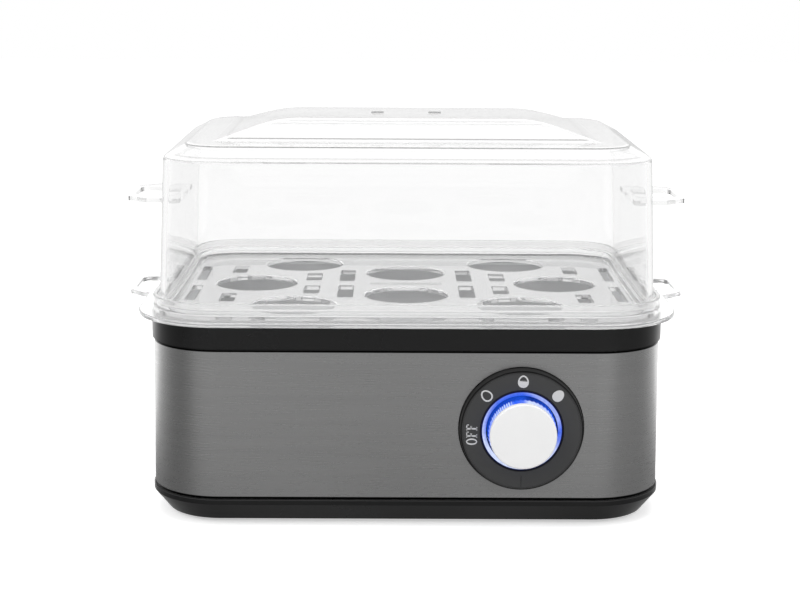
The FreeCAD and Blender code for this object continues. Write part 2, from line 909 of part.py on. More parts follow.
def regulator_nut():
    """Nut on the regulator's bushing, in front of the carrier."""
    top = carrier_front + regulator_nut_height
    nut = hexagon(regulator_nut_flats, carrier_front, top)
    return on_dial(nut.cut(rod(bushing_radius + screw_play, carrier_front - cut_over, top + cut_over)))


def knob_spindle():
    """Shaft of the regulator, with the flat that drives the knob."""
    back = carrier_back - spindle_depth + turn_play
    front = cap_back - knob_web - turn_play
    shaft = rod(spindle_radius, back, front)
    cut = box(-spindle_radius - cut_over, spindle_radius + cut_over, spindle_flat,
              spindle_radius + cut_over, front - spindle_flat_length, front + cut_over)
    return on_dial(shaft.cut(cut))


def ribbed_outline(radius, height):
    """Closed wire of fine ribs round a circle."""
    points = []
    for i in range(2 * knob_ribs):
        reach = radius if i % 2 else radius - knob_rib_height
        angle = math.pi * i / knob_ribs
        points.append(Vector(reach * math.cos(angle), reach * math.sin(angle), height))
    return Part.makePolygon(points + points[:1])


def knob_skirt():
    """Clear knob: ribbed barrel, web under the cap, and the hub that grips the spindle."""
    barrel = loft(ribbed_outline(knob_foot_radius, knob_foot), ribbed_outline(knob_head_radius, cap_back))
    hollow_head = knob_head_radius - knob_wall - knob_rib_height
    hollow_foot = knob_foot_radius - knob_wall - knob_rib_height
    hollow = Part.makeCone(hollow_foot, hollow_head, cap_back - knob_web - knob_foot,
                           Vector(0, 0, knob_foot))
    hub = rod(hub_radius, cap_back - knob_web - hub_length, cap_back - knob_web)
    bore = rod(spindle_radius + screw_play, cap_back - knob_web - hub_length - cut_over,
               cap_back - knob_web - turn_play + screw_play)
    flat = box(-spindle_radius - cut_over, spindle_radius + cut_over, spindle_flat + screw_play,
               spindle_radius + cut_over, cap_back - knob_web - spindle_flat_length + cut_over,
               cap_back - knob_web)
    return on_dial(together([barrel.cut(hollow), hub]).cut(bore.cut(flat)))


def knob_cap():
    """Satin disc glued on the front of the knob."""
    cap = rounded_at(rod(cap_radius, cap_back, cap_front), cap_front, cap_round)
    return on_dial(cap)


def spindle_clip():
    """Open spring ring round the hub."""
    inner = hub_radius + screw_play / 2
    low = cap_back - knob_web - hub_length + screw_play
    ring = rod(inner + clip_ring_sheet, low, low + clip_ring_length)
    ring = ring.cut(rod(inner, low - cut_over, low + clip_ring_length + cut_over))
    gap = box(-clip_ring_gap / 2, clip_ring_gap / 2, 0, inner + clip_ring_sheet + cut_over,
              low - cut_over, low + clip_ring_length + cut_over)
    return on_dial(ring.cut(gap))


band_inset_at_entry = band_flare * (entry_height - band_bottom) / band_height
band_rear_y = case_depth / 2 - band_inset_at_entry
clamp_y = band_rear_y - band_sheet - entry_cheek - clamp_gap
clamp_bottom = entry_height + entry_bore_radius


def along_entry(shape):
    """Lay an upright piece along Y at the cord entry, its zero on the band's outer face."""
    laid = shape.copy()
    laid.rotate(Vector(0, 0, 0), Vector(1, 0, 0), -90)
    laid.translate(Vector(entry_x, band_rear_y, entry_height))
    return laid


def cord_entry():
    """Rubber bush in the back of the band, one cheek on each side of the sheet."""
    groove_low = -band_sheet - entry_slack
    groove_high = entry_slack
    profile = [
        (entry_bore_radius, groove_low - entry_cheek),
        (entry_cheek_radius, groove_low - entry_cheek),
        (entry_cheek_radius, groove_low),
        (entry_radius - screw_play, groove_low),
        (entry_radius - screw_play, groove_high),
        (entry_cheek_radius, groove_high),
        (entry_radius + screw_play, groove_high + entry_cheek),
        (entry_bore_radius, groove_high + entry_cheek),
    ]
    return along_entry(turned(profile))


def cord_clamp():
    """Bar across two posts of the tray that would hold the cord."""
    half = clamp_span / 2 + clamp_width / 2
    bar = box(entry_x - half, entry_x + half, clamp_y - clamp_width / 2, clamp_y + clamp_width / 2,
              clamp_bottom, clamp_bottom + clamp_sheet)
    holes = [rod(carrier_screw_radius + screw_play, clamp_bottom - cut_over,
                 clamp_bottom + clamp_sheet + cut_over, x, clamp_y)
             for x in (entry_x - clamp_span / 2, entry_x + clamp_span / 2)]
    return bar.cut(holes)


def clamp_screws():
    """Two screws through the clamp bar into its posts."""
    places = [(entry_x - clamp_span / 2, clamp_y), (entry_x + clamp_span / 2, clamp_y)]
    return small_screws(places, clamp_bottom + clamp_sheet)


def terminal_block():
    """Three-pole block on the floor of the tray, drilled from the front to the back."""
    low = screw_floor
    body = box(block_x - block_length / 2, block_x + block_length / 2,
               block_y - block_width / 2, block_y + block_width / 2, low, low + block_height)
    pitch = block_length / block_poles
    holes = []
    for i in range(block_poles):
        x = block_x + (i - (block_poles - 1) / 2) * pitch
        length = block_width + 2 * cut_over
        start = Vector(x, block_y - length / 2, low + block_height / 2)
        holes.append(Part.makeCylinder(block_hole_radius, length, start, Vector(0, 1, 0)))
    return body.cut(holes)


def rack_loop():
    """Plan of one finger loop beyond the right end of the rack, and the opening in it."""
    flange_x = case_length / 2 + rack_flange
    outer = flange_x + loop_reach
    root = case_length / 2 + loop_start - loop_bar
    knee = flange_x + loop_knee
    corners = [(root, -loop_root_half), (knee, -loop_root_half), (outer, -loop_half),
               (outer, loop_half), (knee, loop_root_half), (root, loop_root_half)]
    points = [Vector(x, y, deck_bottom) for x, y in corners]
    plan = rounded_loop(points, [0, loop_corner, loop_corner, loop_corner, loop_corner, 0])
    plate = Part.Face(plan).extrude(Vector(0, 0, rack_sheet))
    start, end, half = case_length / 2 + loop_start, outer - loop_bar, loop_opening_half
    low = deck_bottom - cut_over
    opening_points = [Vector(start, -half, low), Vector(end, -half, low),
                      Vector(end, half, low), Vector(start, half, low)]
    opening = Part.Face(rounded_loop(opening_points, [loop_opening_corner] * 4))
    return plate, opening.extrude(Vector(0, 0, rack_sheet + 2 * cut_over))


def mirrored_x(shape):
    """The shape and its twin on the other side of the middle."""
    return [shape, shape.mirror(Vector(0, 0, 0), Vector(1, 0, 0))]


def egg_hole(x, y):
    """Tool that cuts one egg hole with a bevelled upper edge."""
    hole = rod(hole_radius, deck_bottom - cut_over, deck_top + cut_over, x, y)
    bevel = Part.makeCone(hole_radius, hole_radius + hole_bevel, hole_bevel,
                          Vector(x, y, deck_top - hole_bevel))
    return hole.fuse(bevel)


hole_places = corners_of(hole_column_x, hole_column_y)
hole_places += [(-hole_end_x, 0), (hole_end_x, 0), (0, -hole_middle_y), (0, hole_middle_y)]


def egg_rack():
    """Clear moulded tray: deck with holes and slots, shelf for the lid, rim, flange and loops."""
    half_x, half_y = rim_length / 2, rim_depth / 2
    flange = case_slab(-rack_flange, deck_bottom, deck_top)
    loop, opening = rack_loop()
    flange = together([flange] + mirrored_x(loop)).cut(mirrored_x(opening))
    flange = rounded_at(flange, deck_top, flange_round)
    flange = rounded_at(flange, deck_bottom, flange_round)
    lid_seat = slab(half_x - rim_sheet, half_y - rim_sheet, rim_corner - rim_sheet,
                    shelf_top, rim_top + cut_over)
    rim = slab(half_x, half_y, rim_corner, deck_bottom, rim_top).cut(lid_seat)
    rim = rounded_at(rim, rim_top, rim_round)
    rib_inset = bore_inset + rack_rib_play
    rib_low = deck_bottom - rack_rib_depth
    rib = case_slab(rib_inset, rib_low, deck_bottom)
    rack = together([flange, rim, rib])
    inner_x = half_x - rim_sheet - shelf_width
    inner_y = half_y - rim_sheet - shelf_width
    inner_corner = rim_corner - rim_sheet - shelf_width
    well = slab(inner_x, inner_y, inner_corner, deck_top, rim_top + cut_over)
    well = rounded_at(well, deck_top, deck_round)
    under_deck = case_slab(rib_inset + rack_rib_sheet, rib_low - cut_over, deck_bottom)
    channel = slab(half_x - rim_sheet, half_y - rim_sheet, rim_corner - rim_sheet,
                   deck_bottom - cut_over, shelf_top - rack_sheet)
    riser = slab(inner_x + rack_sheet, inner_y + rack_sheet, inner_corner + rack_sheet,
                 deck_bottom - 2 * cut_over, shelf_top)
    channel = channel.cut([riser, case_slab(rib_inset, rib_low, deck_bottom)])
    rack = rack.cut([well, under_deck, channel])
    shelf_edge = inside_box(edges_at(rack, shelf_top), inner_x + shelf_round, inner_y + shelf_round)
    rack = rack.makeFillet(shelf_round, shelf_edge)
    web = box(-web_length / 2, web_length / 2, -web_width / 2, web_width / 2,
              deck_bottom, deck_top + web_height)
    rack = together([rack, web])
    tools = [egg_hole(x, y) for x, y in hole_places]
    for x_low, x_high, y_low, y_high in slot_places.values():
        for sx in (-1, 1):
            for sy in (-1, 1):
                slot = slab((x_high - x_low) / 2, (y_high - y_low) / 2, slot_corner,
                            deck_bottom - cut_over, deck_top + cut_over)
                slot.translate(Vector(sx * (x_low + x_high) / 2, sy * (y_low + y_high) / 2, 0))
                tools.append(slot)
    return rack.cut(tools)


def crown_profile(sink):
    """Arched end-to-end profile of the crown, from left to right, at a depth below its skin."""
    radius = crown_arc - sink
    centre_z = crown_top - crown_arc
    flat = crown_flat_half
    slope = crown_slope()
    foot_x = crown_foot_x - sink * math.tan(slope / 2)
    foot_z = shoulder_top - sink
    arc_end = Vector(flat + radius * math.sin(slope), 0, centre_z + radius * math.cos(slope))
    arc_middle = Vector(flat + radius * math.sin(slope / 2), 0, centre_z + radius * math.cos(slope / 2))
    top = Vector(flat, 0, centre_z + radius)
    foot = Vector(foot_x, 0, foot_z)
    low = Vector(foot_x, 0, wall_top - sink)

    def left(point):
        return Vector(-point.x, point.y, point.z)

    edges = [
        Part.LineSegment(left(low), left(foot)).toShape(),
        Part.LineSegment(left(foot), left(arc_end)).toShape(),
        Part.Arc(left(arc_end), left(arc_middle), left(top)).toShape(),
        Part.LineSegment(left(top), top).toShape(),
        Part.Arc(top, arc_middle, arc_end).toShape(),
        Part.LineSegment(arc_end, foot).toShape(),
        Part.LineSegment(foot, low).toShape(),
        Part.LineSegment(low, left(low)).toShape(),
    ]
    return Part.Face(Part.Wire(edges))


def crown_slope():
    """Angle of the straight stretch that leaves the arc and meets the foot."""
    across = crown_foot_x - crown_flat_half
    down = crown_arc - crown_rise
    distance = math.hypot(across, down)
    return math.atan2(across, down) - math.acos(crown_arc / distance)


def crown(sink):
    """Raised crown of the lid: arched from end to end, sloped to the front and to the back."""
    arch = crown_profile(sink).extrude(Vector(0, case_depth, 0))
    arch.translate(Vector(0, -case_depth / 2, 0))
    angle = math.atan2(crown_rise, crown_foot_y - crown_top_y)
    shift = sink * math.tan(angle / 2)
    top_y, foot_y = crown_top_y - shift, crown_foot_y - shift
    top_z, foot_z, low_z = crown_top - sink, shoulder_top - sink, wall_top - sink
    points = [Vector(-case_length / 2, y, z) for y, z in (
        (-foot_y, low_z), (-foot_y, foot_z), (-top_y, top_z), (top_y, top_z),
        (foot_y, foot_z), (foot_y, low_z))]
    roof = Part.Face(Part.makePolygon(points + points[:1])).extrude(Vector(case_length, 0, 0))
    return arch.common(roof)


def inside_box(edges, reach_x, reach_y):
    """Those of some edges that stay within two distances of the middle."""
    within = []
    for edge in edges:
        bounds = edge.BoundBox
        far_x = max(abs(bounds.XMin), abs(bounds.XMax))
        far_y = max(abs(bounds.YMin), abs(bounds.YMax))
        if far_x < reach_x and far_y < reach_y:
            within.append(edge)
    return within


def lid_form(sink, floor):
    """Solid form of the lid's skin at a depth below it, down to a floor height."""
    half_x, half_y = lid_bottom_length / 2 - sink, lid_bottom_depth / 2 - sink
    corner = lid_bottom_corner - sink
    pitch = math.atan2(shoulder_rise, shoulder_run_x)
    wall_z = wall_top - sink * math.tan((math.pi / 2 - pitch) / 2)
    edge = sink * math.tan(pitch / 2)
    top_x, top_y = half_x - lid_draft, half_y - lid_draft
    edge_x = half_x + sink - lid_draft - shoulder_run_x - edge
    edge_y = half_y + sink - lid_draft - shoulder_run_y - edge
    top_corner = corner - lid_draft / 2
    walls = loft(outline(half_x, half_y, corner, lid_bottom), outline(top_x, top_y, top_corner, wall_z))
    shoulder = loft(outline(top_x, top_y, top_corner, wall_z),
                    outline(edge_x, edge_y, shoulder_corner - edge, shoulder_top - sink))
    form = together([walls, shoulder, crown(sink)])
    outward = max(lid_edge_round - sink, lid_inner_round)
    form = form.makeFillet(outward, edges_at(form, wall_z))
    level = edges_at(form, shoulder_top - sink)
    foot = inside_box(level, crown_foot_x + cut_over, crown_foot_y + cut_over)
    rim = [edge for edge in level if not any(edge.isSame(other) for other in foot)]
    form = form.makeFillet(outward, rim)
    level = edges_at(form, shoulder_top - sink)
    foot = inside_box(level, crown_foot_x + cut_over, crown_foot_y + cut_over)
    form = form.makeFillet(lid_foot_round + sink, foot)
    crests = []
    for edge in form.Edges:
        bounds = edge.BoundBox
        level_y = abs(bounds.YMin + bounds.YMax) > crown_top_y
        if bounds.ZMin > shoulder_top - sink + lid_rim_round and level_y:
            crests.append(edge)
    form = form.makeFillet(outward, crests)
    if floor < lid_bottom:
        return together([form, slab(half_x, half_y, corner, floor, lid_bottom)])
    return rounded_at(form, lid_bottom, lid_rim_round)


def lid_loop():
    """Plan of one finger loop on the right end of the lid, and the opening in it."""
    top = lid_bottom + lid_loop_height
    low = top - lid_sheet
    wall_x = lid_bottom_length / 2 - lid_draft * lid_loop_height / lid_wall_height
    root = wall_x - lid_sheet + lid_loop_sunk
    knee, outer = wall_x + lid_loop_knee, wall_x + lid_loop_reach
    points = [Vector(root, -lid_loop_root_half, low), Vector(knee, -lid_loop_root_half, low),
              Vector(outer, -lid_loop_half, low), Vector(outer, lid_loop_half, low),
              Vector(knee, lid_loop_root_half, low), Vector(root, lid_loop_root_half, low)]
    plan = rounded_loop(points, [0, loop_corner, loop_corner, loop_corner, loop_corner, 0])
    plate = Part.Face(plan).extrude(Vector(0, 0, lid_sheet))
    start, end, half = wall_x + lid_opening_start, outer - loop_bar, loop_opening_half
    opening_points = [Vector(start, -half, low - cut_over), Vector(end, -half, low - cut_over),
                      Vector(end, half, low - cut_over), Vector(start, half, low - cut_over)]
    opening = Part.Face(rounded_loop(opening_points, [loop_opening_corner] * 4))
    return plate, opening.extrude(Vector(0, 0, lid_sheet + 2 * cut_over))


def lid():
    """Clear moulded hood with a sloped shoulder, raised crown, two vents and two finger loops."""
    shell = lid_form(0, lid_bottom).cut(lid_form(lid_sheet, lid_bottom - cut_over))
    loop, opening = lid_loop()
    shell = together([shell] + mirrored_x(loop)).cut(mirrored_x(opening))
    vents = []
    for x in (vent_left, vent_right):
        vent = slab(vent_width / 2, vent_length / 2, vent_corner, crown_top - lid_sheet - cut_over,
                    crown_top + cut_over)
        vent.translate(Vector(x, vent_y, 0))
        vents.append(vent)
    return shell.cut(vents)


def inner_leads():
    """Insulated leads: block to regulator, block to element, regulator to element."""
    block_front = block_y - block_width / 2
    block_back = block_y + block_width / 2
    block_mid = screw_floor + block_height / 2
    pitch = block_length / block_poles
    tab_back = band_face_y - (carrier_back - regulator_height - regulator_cap_height - tab_length)
    element_end = spreader_half_y + element_tail + pin_length / 2 + tab_length
    low = screw_floor + lead_bend
    routes = [
        [Vector(block_x + pitch, block_front, block_mid),
         Vector(block_x + pitch, block_front - lead_step, block_mid),
         Vector(dial_x - regulator_tab_reach, tab_back + lead_step, block_mid),
         Vector(dial_x - regulator_tab_reach, tab_back + lead_step, dial_height),
         Vector(dial_x - regulator_tab_reach, tab_back, dial_height)],
        [Vector(dial_x + regulator_tab_reach, tab_back, dial_height),
         Vector(dial_x + regulator_tab_reach, tab_back + lead_step, dial_height),
         Vector(dial_x + regulator_tab_reach, tab_back + lead_step, low),
         Vector(dial_x + regulator_tab_reach, element_end, low),
         Vector(element_gap_half, element_end + lead_bend, low),
         Vector(element_gap_half, element_end + lead_bend, spreader_bottom),
         Vector(element_gap_half, element_end, spreader_bottom)],
        [Vector(block_x + pitch, block_back, block_mid),
         Vector(block_x + pitch, element_end + lead_bend, block_mid),
         Vector(-element_gap_half, element_end + lead_bend, block_mid),
         Vector(-element_gap_half, element_end + lead_bend, spreader_bottom),
         Vector(-element_gap_half, element_end, spreader_bottom)],
    ]
    leads = []
    for points in routes:
        radii = [0] * len(points)
        for i in range(1, len(points) - 1):
            shorter = min((points[i] - points[i - 1]).Length, (points[i + 1] - points[i]).Length)
            radii[i] = min(lead_bend, shorter * lead_bend_share)
        path = Part.Wire(rounded_edges(points, radii, False))
        leads.append(tube_along(path, lead_radius))
    return Part.makeCompound(leads)


pieces = {
    "rubber_feet": rubber_feet,
    "base_tray": base_tray,
    "steel_band": steel_band,
    "top_collar": top_collar,
    "case_screws": case_screws,
    "pan_seal": pan_seal,
    "heating_pan": heating_pan,
    "spreader_plate": spreader_plate,
    "heating_element": heating_element,
    "element_terminals": element_terminals,
    "pan_studs": pan_studs,
    "stud_nuts": stud_nuts,
    "stud_sleeves": stud_sleeves,
    "heat_shield": heat_shield,
    "limit_thermostat": limit_thermostat,
    "thermal_fuse": thermal_fuse,
    "fuse_clip": fuse_clip,
    "dial_surround": dial_surround,
    "dial_plate": dial_plate,
    "light_ring": light_ring,
    "light_board": light_board,
    "lights": lights,
    "dial_carrier": dial_carrier,
    "carrier_screws": carrier_screws,
    "regulator_body": regulator_body,
    "regulator_nut": regulator_nut,
    "knob_spindle": knob_spindle,
    "knob_skirt": knob_skirt,
    "knob_cap": knob_cap,
    "spindle_clip": spindle_clip,
    "cord_entry": cord_entry,
    "cord_clamp": cord_clamp,
    "clamp_screws": clamp_screws,
    "terminal_block": terminal_block,
    "inner_leads": inner_leads,
    "egg_rack": egg_rack,
    "lid": lid,
}

# The knob reaches further forward than the rack does, so the footprint's middle is in front of
# the case's middle
front_reach = cap_front - band_face_y
back_reach = case_depth / 2 + rack_flange
middle_shift = Vector(0, (front_reach - back_reach) / 2, 0)

os.makedirs("parts", exist_ok=True)
for name, make in pieces.items():
    shape = make()
    shape.translate(middle_shift)
    shape.exportStep("parts/" + name + ".step")
    print(name, len(shape.Solids), "valid" if shape.isValid() else "NOT VALID", round(shape.Volume))
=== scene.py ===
"""Electric egg cooker with a clear hood: finishes, printed marks, light and camera."""
import math

import bpy
import numpy as np
from mathutils import Matrix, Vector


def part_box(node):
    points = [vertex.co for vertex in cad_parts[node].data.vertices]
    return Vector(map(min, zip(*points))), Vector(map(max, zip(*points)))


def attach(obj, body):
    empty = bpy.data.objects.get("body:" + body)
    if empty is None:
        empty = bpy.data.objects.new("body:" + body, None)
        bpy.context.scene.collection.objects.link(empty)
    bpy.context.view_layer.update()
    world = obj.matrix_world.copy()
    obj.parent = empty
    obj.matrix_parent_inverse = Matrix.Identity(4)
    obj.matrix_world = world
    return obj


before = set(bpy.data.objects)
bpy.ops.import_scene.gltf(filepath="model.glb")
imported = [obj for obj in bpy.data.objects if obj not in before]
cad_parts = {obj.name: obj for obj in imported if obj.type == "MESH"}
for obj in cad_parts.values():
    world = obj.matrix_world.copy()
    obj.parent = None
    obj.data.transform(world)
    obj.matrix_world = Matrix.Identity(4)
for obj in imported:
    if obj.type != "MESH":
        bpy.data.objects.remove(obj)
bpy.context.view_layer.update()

# Camera. The photograph was taken from the front, a little above the lid's middle, from about
# three quarters of a metre with a long lens. Places are in metres, X to the right, Z up.
camera_place = (-0.0069, -0.74709, 0.2324)
camera_down = math.radians(11.537)
camera_turn = -0.0058
camera_sensor = 36.0
camera_lens = 76.5
camera_near = 0.01
camera_data = bpy.data.cameras.new("camera")
camera_data.sensor_width = camera_sensor
camera_data.lens = camera_lens
camera_data.clip_start = camera_near
camera = bpy.data.objects.new("camera", camera_data)
bpy.context.scene.collection.objects.link(camera)
camera.matrix_world = (
    Matrix.Translation(camera_place)
    @ Matrix.Rotation(camera_turn, 4, "Z")
    @ Matrix.Rotation(math.pi / 2 - camera_down, 4, "X")
    @ Matrix.Rotation(-camera_turn, 4, "Z")
)
bpy.context.scene.camera = camera
bpy.context.scene.view_settings.view_transform = "Standard"

# Studio. A white sweep behind the cooker, darker sides and front: that gives clear plastic part
# of its grey edges, and the rest is painted shade in its material. The table is white, and keeps
# the soft shadow under the feet; for mirror and clear rays it is darker near the cooker, a painted
# shadow. The sweep is given round the cooker, in degrees from the front, left negative.
sweep_round = (
    (-180.0, 1.4),
    (-120.0, 1.4),
    (-109.0, 0.82),
    (-99.5, 0.5),
    (-90.0, 0.36),
    (-81.0, 0.27),
    (-72.0, 0.225),
    (-62.0, 0.22),
    (-52.0, 0.28),
    (-43.0, 0.38),
    (-32.0, 0.42),
    (-20.0, 0.43),
    (0.0, 0.385),
    (12.0, 0.4),
    (26.0, 0.46),
    (36.0, 0.42),
    (46.0, 0.33),
    (60.0, 0.31),
    (74.0, 0.3),
    (85.0, 0.32),
    (93.0, 0.39),
    (101.0, 0.5),
    (110.0, 0.72),
    (121.0, 1.3),
    (180.0, 1.4),
)
sweep_top = 1.4
clear_dark = 0.68
clear_bright = 1.1
overhead_level = 1.2
overhead_from = 0.45
overhead_to = 0.75
low_from = 0.1
low_to = 0.17
low_share = 0.62
room_level = 0.9
table_size = 6.0
table_white = 0.7
table_glow = 0.5
table_near = 0.1
table_far = 0.4
table_near_share = 0.66
far_from = 0.42
far_to = 0.6
far_most = 0.7


def add(tree, kind, **settings):
    """A node of one kind in a tree, with its settings made."""
    made = tree.nodes.new(kind)
    for key, value in settings.items():
        setattr(made, key, value)
    return made


def stops(ramp, marks):
    """Set a colour ramp's stops; marks are (position, colour or grey level)."""
    elements = ramp.color_ramp.elements
    while len(elements) > 1:
        elements.remove(elements[-1])
    for i, (position, shade) in enumerate(marks):
        element = elements.new(position) if i else elements[0]
        element.position = position
        colour = shade if isinstance(shade, tuple) else (shade,) * 3
        element.color = colour + (1,)
    return ramp


def plug(tree, socket, value):
    """Give a socket a number, a colour or another node's output."""
    if isinstance(value, (int, float, tuple)):
        socket.default_value = value
    else:
        tree.links.new(value, socket)


def worked(tree, operation, *values):
    """Output of a math node; each value is a number or another node's output."""
    node = add(tree, "ShaderNodeMath", operation=operation)
    for socket, value in zip(node.inputs, values):
        plug(tree, socket, value)
    return node.outputs[0]


def span(tree, value, low, high, to_low=0.0, to_high=1.0, ends="LINEAR"):
    """A value moved from one range to another and held inside it; SMOOTHSTEP has soft ends."""
    node = add(tree, "ShaderNodeMapRange", interpolation_type=ends)
    plug(tree, node.inputs["Value"], value)
    for title, limit in zip(("From Min", "From Max", "To Min", "To Max"),
                            (low, high, to_low, to_high)):
        plug(tree, node.inputs[title], limit)
    return node.outputs["Result"]


def blend(tree, amount, low, high, kind="RGBA"):
    """Colour, or FLOAT level, between two by an amount from 0 to 1."""
    node = add(tree, "ShaderNodeMix", data_type=kind)
    plug(tree, node.inputs["Factor"], amount)
    plug(tree, node.inputs["A"], low)
    plug(tree, node.inputs["B"], high)
    return node.outputs["Result"]


def sweep_level(tree, place):
    """Level of the sweep at a place or along a heading, by its angle round the upright axis."""
    parts = add(tree, "ShaderNodeSeparateXYZ")
    tree.links.new(place, parts.inputs[0])
    front = worked(tree, "MULTIPLY", parts.outputs["Y"], -1.0)
    angle = worked(tree, "ARCTAN2", parts.outputs["X"], front)
    marks = [(degrees / 360 + 0.5, level / sweep_top) for degrees, level in sweep_round]
    ramp = stops(add(tree, "ShaderNodeValToRGB"), marks)
    tree.links.new(span(tree, angle, -math.pi, math.pi), ramp.inputs["Fac"])
    return ramp.outputs["Color"], parts


def clear_level(tree, level):
    """Level that clear plastic shows for a level of the sweep: never very dark."""
    return span(tree, level, 0.0, 1.0, clear_dark, clear_bright)


world = bpy.data.worlds.new("studio")
bpy.context.scene.world = world
world.use_nodes = True
world.cycles.sampling_method = "NONE"
tree = world.node_tree
tree.nodes.clear()
place = add(tree, "ShaderNodeTexCoord")
sweep, parts = sweep_level(tree, place.outputs["Generated"])
path = add(tree, "ShaderNodeLightPath")
low = span(tree, parts.outputs["Z"], low_from, low_to, sweep_top * low_share, sweep_top, "SMOOTHSTEP")
above = span(tree, parts.outputs["Z"], overhead_from, overhead_to, 0.0, overhead_level, "SMOOTHSTEP")
seen = worked(tree, "MAXIMUM", worked(tree, "MULTIPLY", sweep, low), above)
mirrored = blend(tree, path.outputs["Is Glossy Ray"], room_level, seen, "FLOAT")
cleared = blend(tree, path.outputs["Is Transmission Ray"], mirrored, clear_level(tree, seen), "FLOAT")
shown = blend(tree, path.outputs["Is Camera Ray"], cleared, 1.0, "FLOAT")
sky = add(tree, "ShaderNodeBackground")
sky.inputs["Color"].default_value = (1, 1, 1, 1)
tree.links.new(shown, sky.inputs["Strength"])
out = add(tree, "ShaderNodeOutputWorld")
tree.links.new(sky.outputs[0], out.inputs["Surface"])

table_mesh = bpy.data.meshes.new("table")
half = table_size / 2
table_mesh.from_pydata([(-half, -half, 0), (half, -half, 0), (half, half, 0), (-half, half, 0)],
                       [], [(0, 1, 2, 3)])
table = bpy.data.objects.new("table", table_mesh)
bpy.context.scene.collection.objects.link(table)
white = bpy.data.materials.new("table_white")
white.use_nodes = True
tree = white.node_tree
tree.nodes.clear()
place = add(tree, "ShaderNodeTexCoord")
sweep, parts = sweep_level(tree, place.outputs["Object"])
reach = add(tree, "ShaderNodeVectorMath", operation="LENGTH")
tree.links.new(place.outputs["Object"], reach.inputs[0])
# Painted shadow: for mirror and clear rays the table is darker near the cooker, which shows in the
# steel and the clear plastic.
fade = span(tree, reach.outputs["Value"], table_near, table_far, sweep_top * table_near_share,
            sweep_top, "SMOOTHSTEP")
most = span(tree, reach.outputs["Value"], far_from, far_to, sweep_top, far_most, "SMOOTHSTEP")
level = worked(tree, "MULTIPLY", sweep, fade)
path = add(tree, "ShaderNodeLightPath")
cloth = add(tree, "ShaderNodeBsdfDiffuse")
cloth.inputs["Color"].default_value = (table_white,) * 3 + (1,)
glow = add(tree, "ShaderNodeEmission")
glow.inputs["Strength"].default_value = table_glow
lit = add(tree, "ShaderNodeAddShader")
tree.links.new(cloth.outputs[0], lit.inputs[0])
tree.links.new(glow.outputs[0], lit.inputs[1])
mirror_glow = add(tree, "ShaderNodeEmission")
tree.links.new(worked(tree, "MINIMUM", level, most), mirror_glow.inputs["Strength"])
clear_glow = add(tree, "ShaderNodeEmission")
tree.links.new(clear_level(tree, level), clear_glow.inputs["Strength"])
final = cloth
for ray, shader in (("Is Glossy Ray", mirror_glow), ("Is Transmission Ray", clear_glow),
                    ("Is Camera Ray", lit)):
    mixed = add(tree, "ShaderNodeMixShader")
    tree.links.new(path.outputs[ray], mixed.inputs["Fac"])
    tree.links.new(final.outputs[0], mixed.inputs[1])
    tree.links.new(shader.outputs[0], mixed.inputs[2])
    final = mixed
out = add(tree, "ShaderNodeOutputMaterial")
tree.links.new(final.outputs[0], out.inputs["Surface"])
table_mesh.materials.append(white)


def soft_lamp(name, place, aim, size, power):
    """A square area lamp at a place, facing another place, not seen in mirrors or glass."""
    data = bpy.data.lights.new(name, "AREA")
    data.size = size
    data.energy = power
    lamp = bpy.data.objects.new(name, data)
    bpy.context.scene.collection.objects.link(lamp)
    towards = np.array(aim) - np.array(place)
    back = -towards / np.linalg.norm(towards)
    side = np.cross((0, 0, 1), back)
    side = side / np.linalg.norm(side)
    up = np.cross(back, side)
    turn = np.eye(4)
    turn[:3, 0], turn[:3, 1], turn[:3, 2], turn[:3, 3] = side, up, back, place
    lamp.matrix_world = Matrix(turn.tolist())
    lamp.visible_camera = False
    lamp.visible_glossy = False
    lamp.visible_transmission = False
    return lamp


lamp_aim = (0, 0, 0.08)
soft_lamp("lamp_left", place=(-0.9, -0.8, 1.1), aim=lamp_aim, size=0.9, power=9.0)
soft_lamp("lamp_right", place=(1.0, -0.6, 1.0), aim=lamp_aim, size=0.9, power=5.0)
soft_lamp("lamp_top", place=(0.05, 0.1, 1.3), aim=lamp_aim, size=1.2, power=8.0)

# Rubber feet and the bush in the back. Soft black rubber, pressed into holes of the mouldings,
# dull and a little dusty.
rubber_low = (0.018, 0.018, 0.019, 1)
rubber_high = (0.032, 0.031, 0.03, 1)
noise_low = 0.3
noise_high = 0.7


def finish(name, colour=(0.5, 0.5, 0.5, 1), **settings):
    """A material with one Principled shader, its constants on the shader's own sockets, and the
    piece's own Object coordinates. Returns the material, tree, shader and coordinates."""
    material = bpy.data.materials.new(name)
    material.use_nodes = True
    tree = material.node_tree
    tree.nodes.clear()
    shader = add(tree, "ShaderNodeBsdfPrincipled")
    out = add(tree, "ShaderNodeOutputMaterial")
    tree.links.new(shader.outputs[0], out.inputs["Surface"])
    shader.inputs["Base Color"].default_value = colour
    for key, value in settings.items():
        shader.inputs[key.replace("_", " ")].default_value = value
    place = add(tree, "ShaderNodeTexCoord").outputs["Object"]
    return material, tree, shader, place


def new_group(name, inputs, outputs):
    """A shader node group with value inputs (name, default) after a Vector, and value outputs."""
    group = bpy.data.node_groups.new(name, "ShaderNodeTree")
    group.interface.new_socket("Vector", in_out="INPUT", socket_type="NodeSocketVector")
    for title, default in inputs:
        socket = group.interface.new_socket(title, in_out="INPUT", socket_type="NodeSocketFloat")
        socket.default_value = default
    for title in outputs:
        group.interface.new_socket(title, in_out="OUTPUT", socket_type="NodeSocketFloat")
    return group, group.nodes.new("NodeGroupInput"), group.nodes.new("NodeGroupOutput")


def noise(tree, place, scale, detail):
    """Value of an even noise from 0 to 1 at a place, its scale in lumps per metre."""
    node = add(tree, "ShaderNodeTexNoise")
    tree.links.new(place, node.inputs["Vector"])
    plug(tree, node.inputs["Scale"], scale)
    node.inputs["Detail"].default_value = detail
    return node.outputs["Fac"]


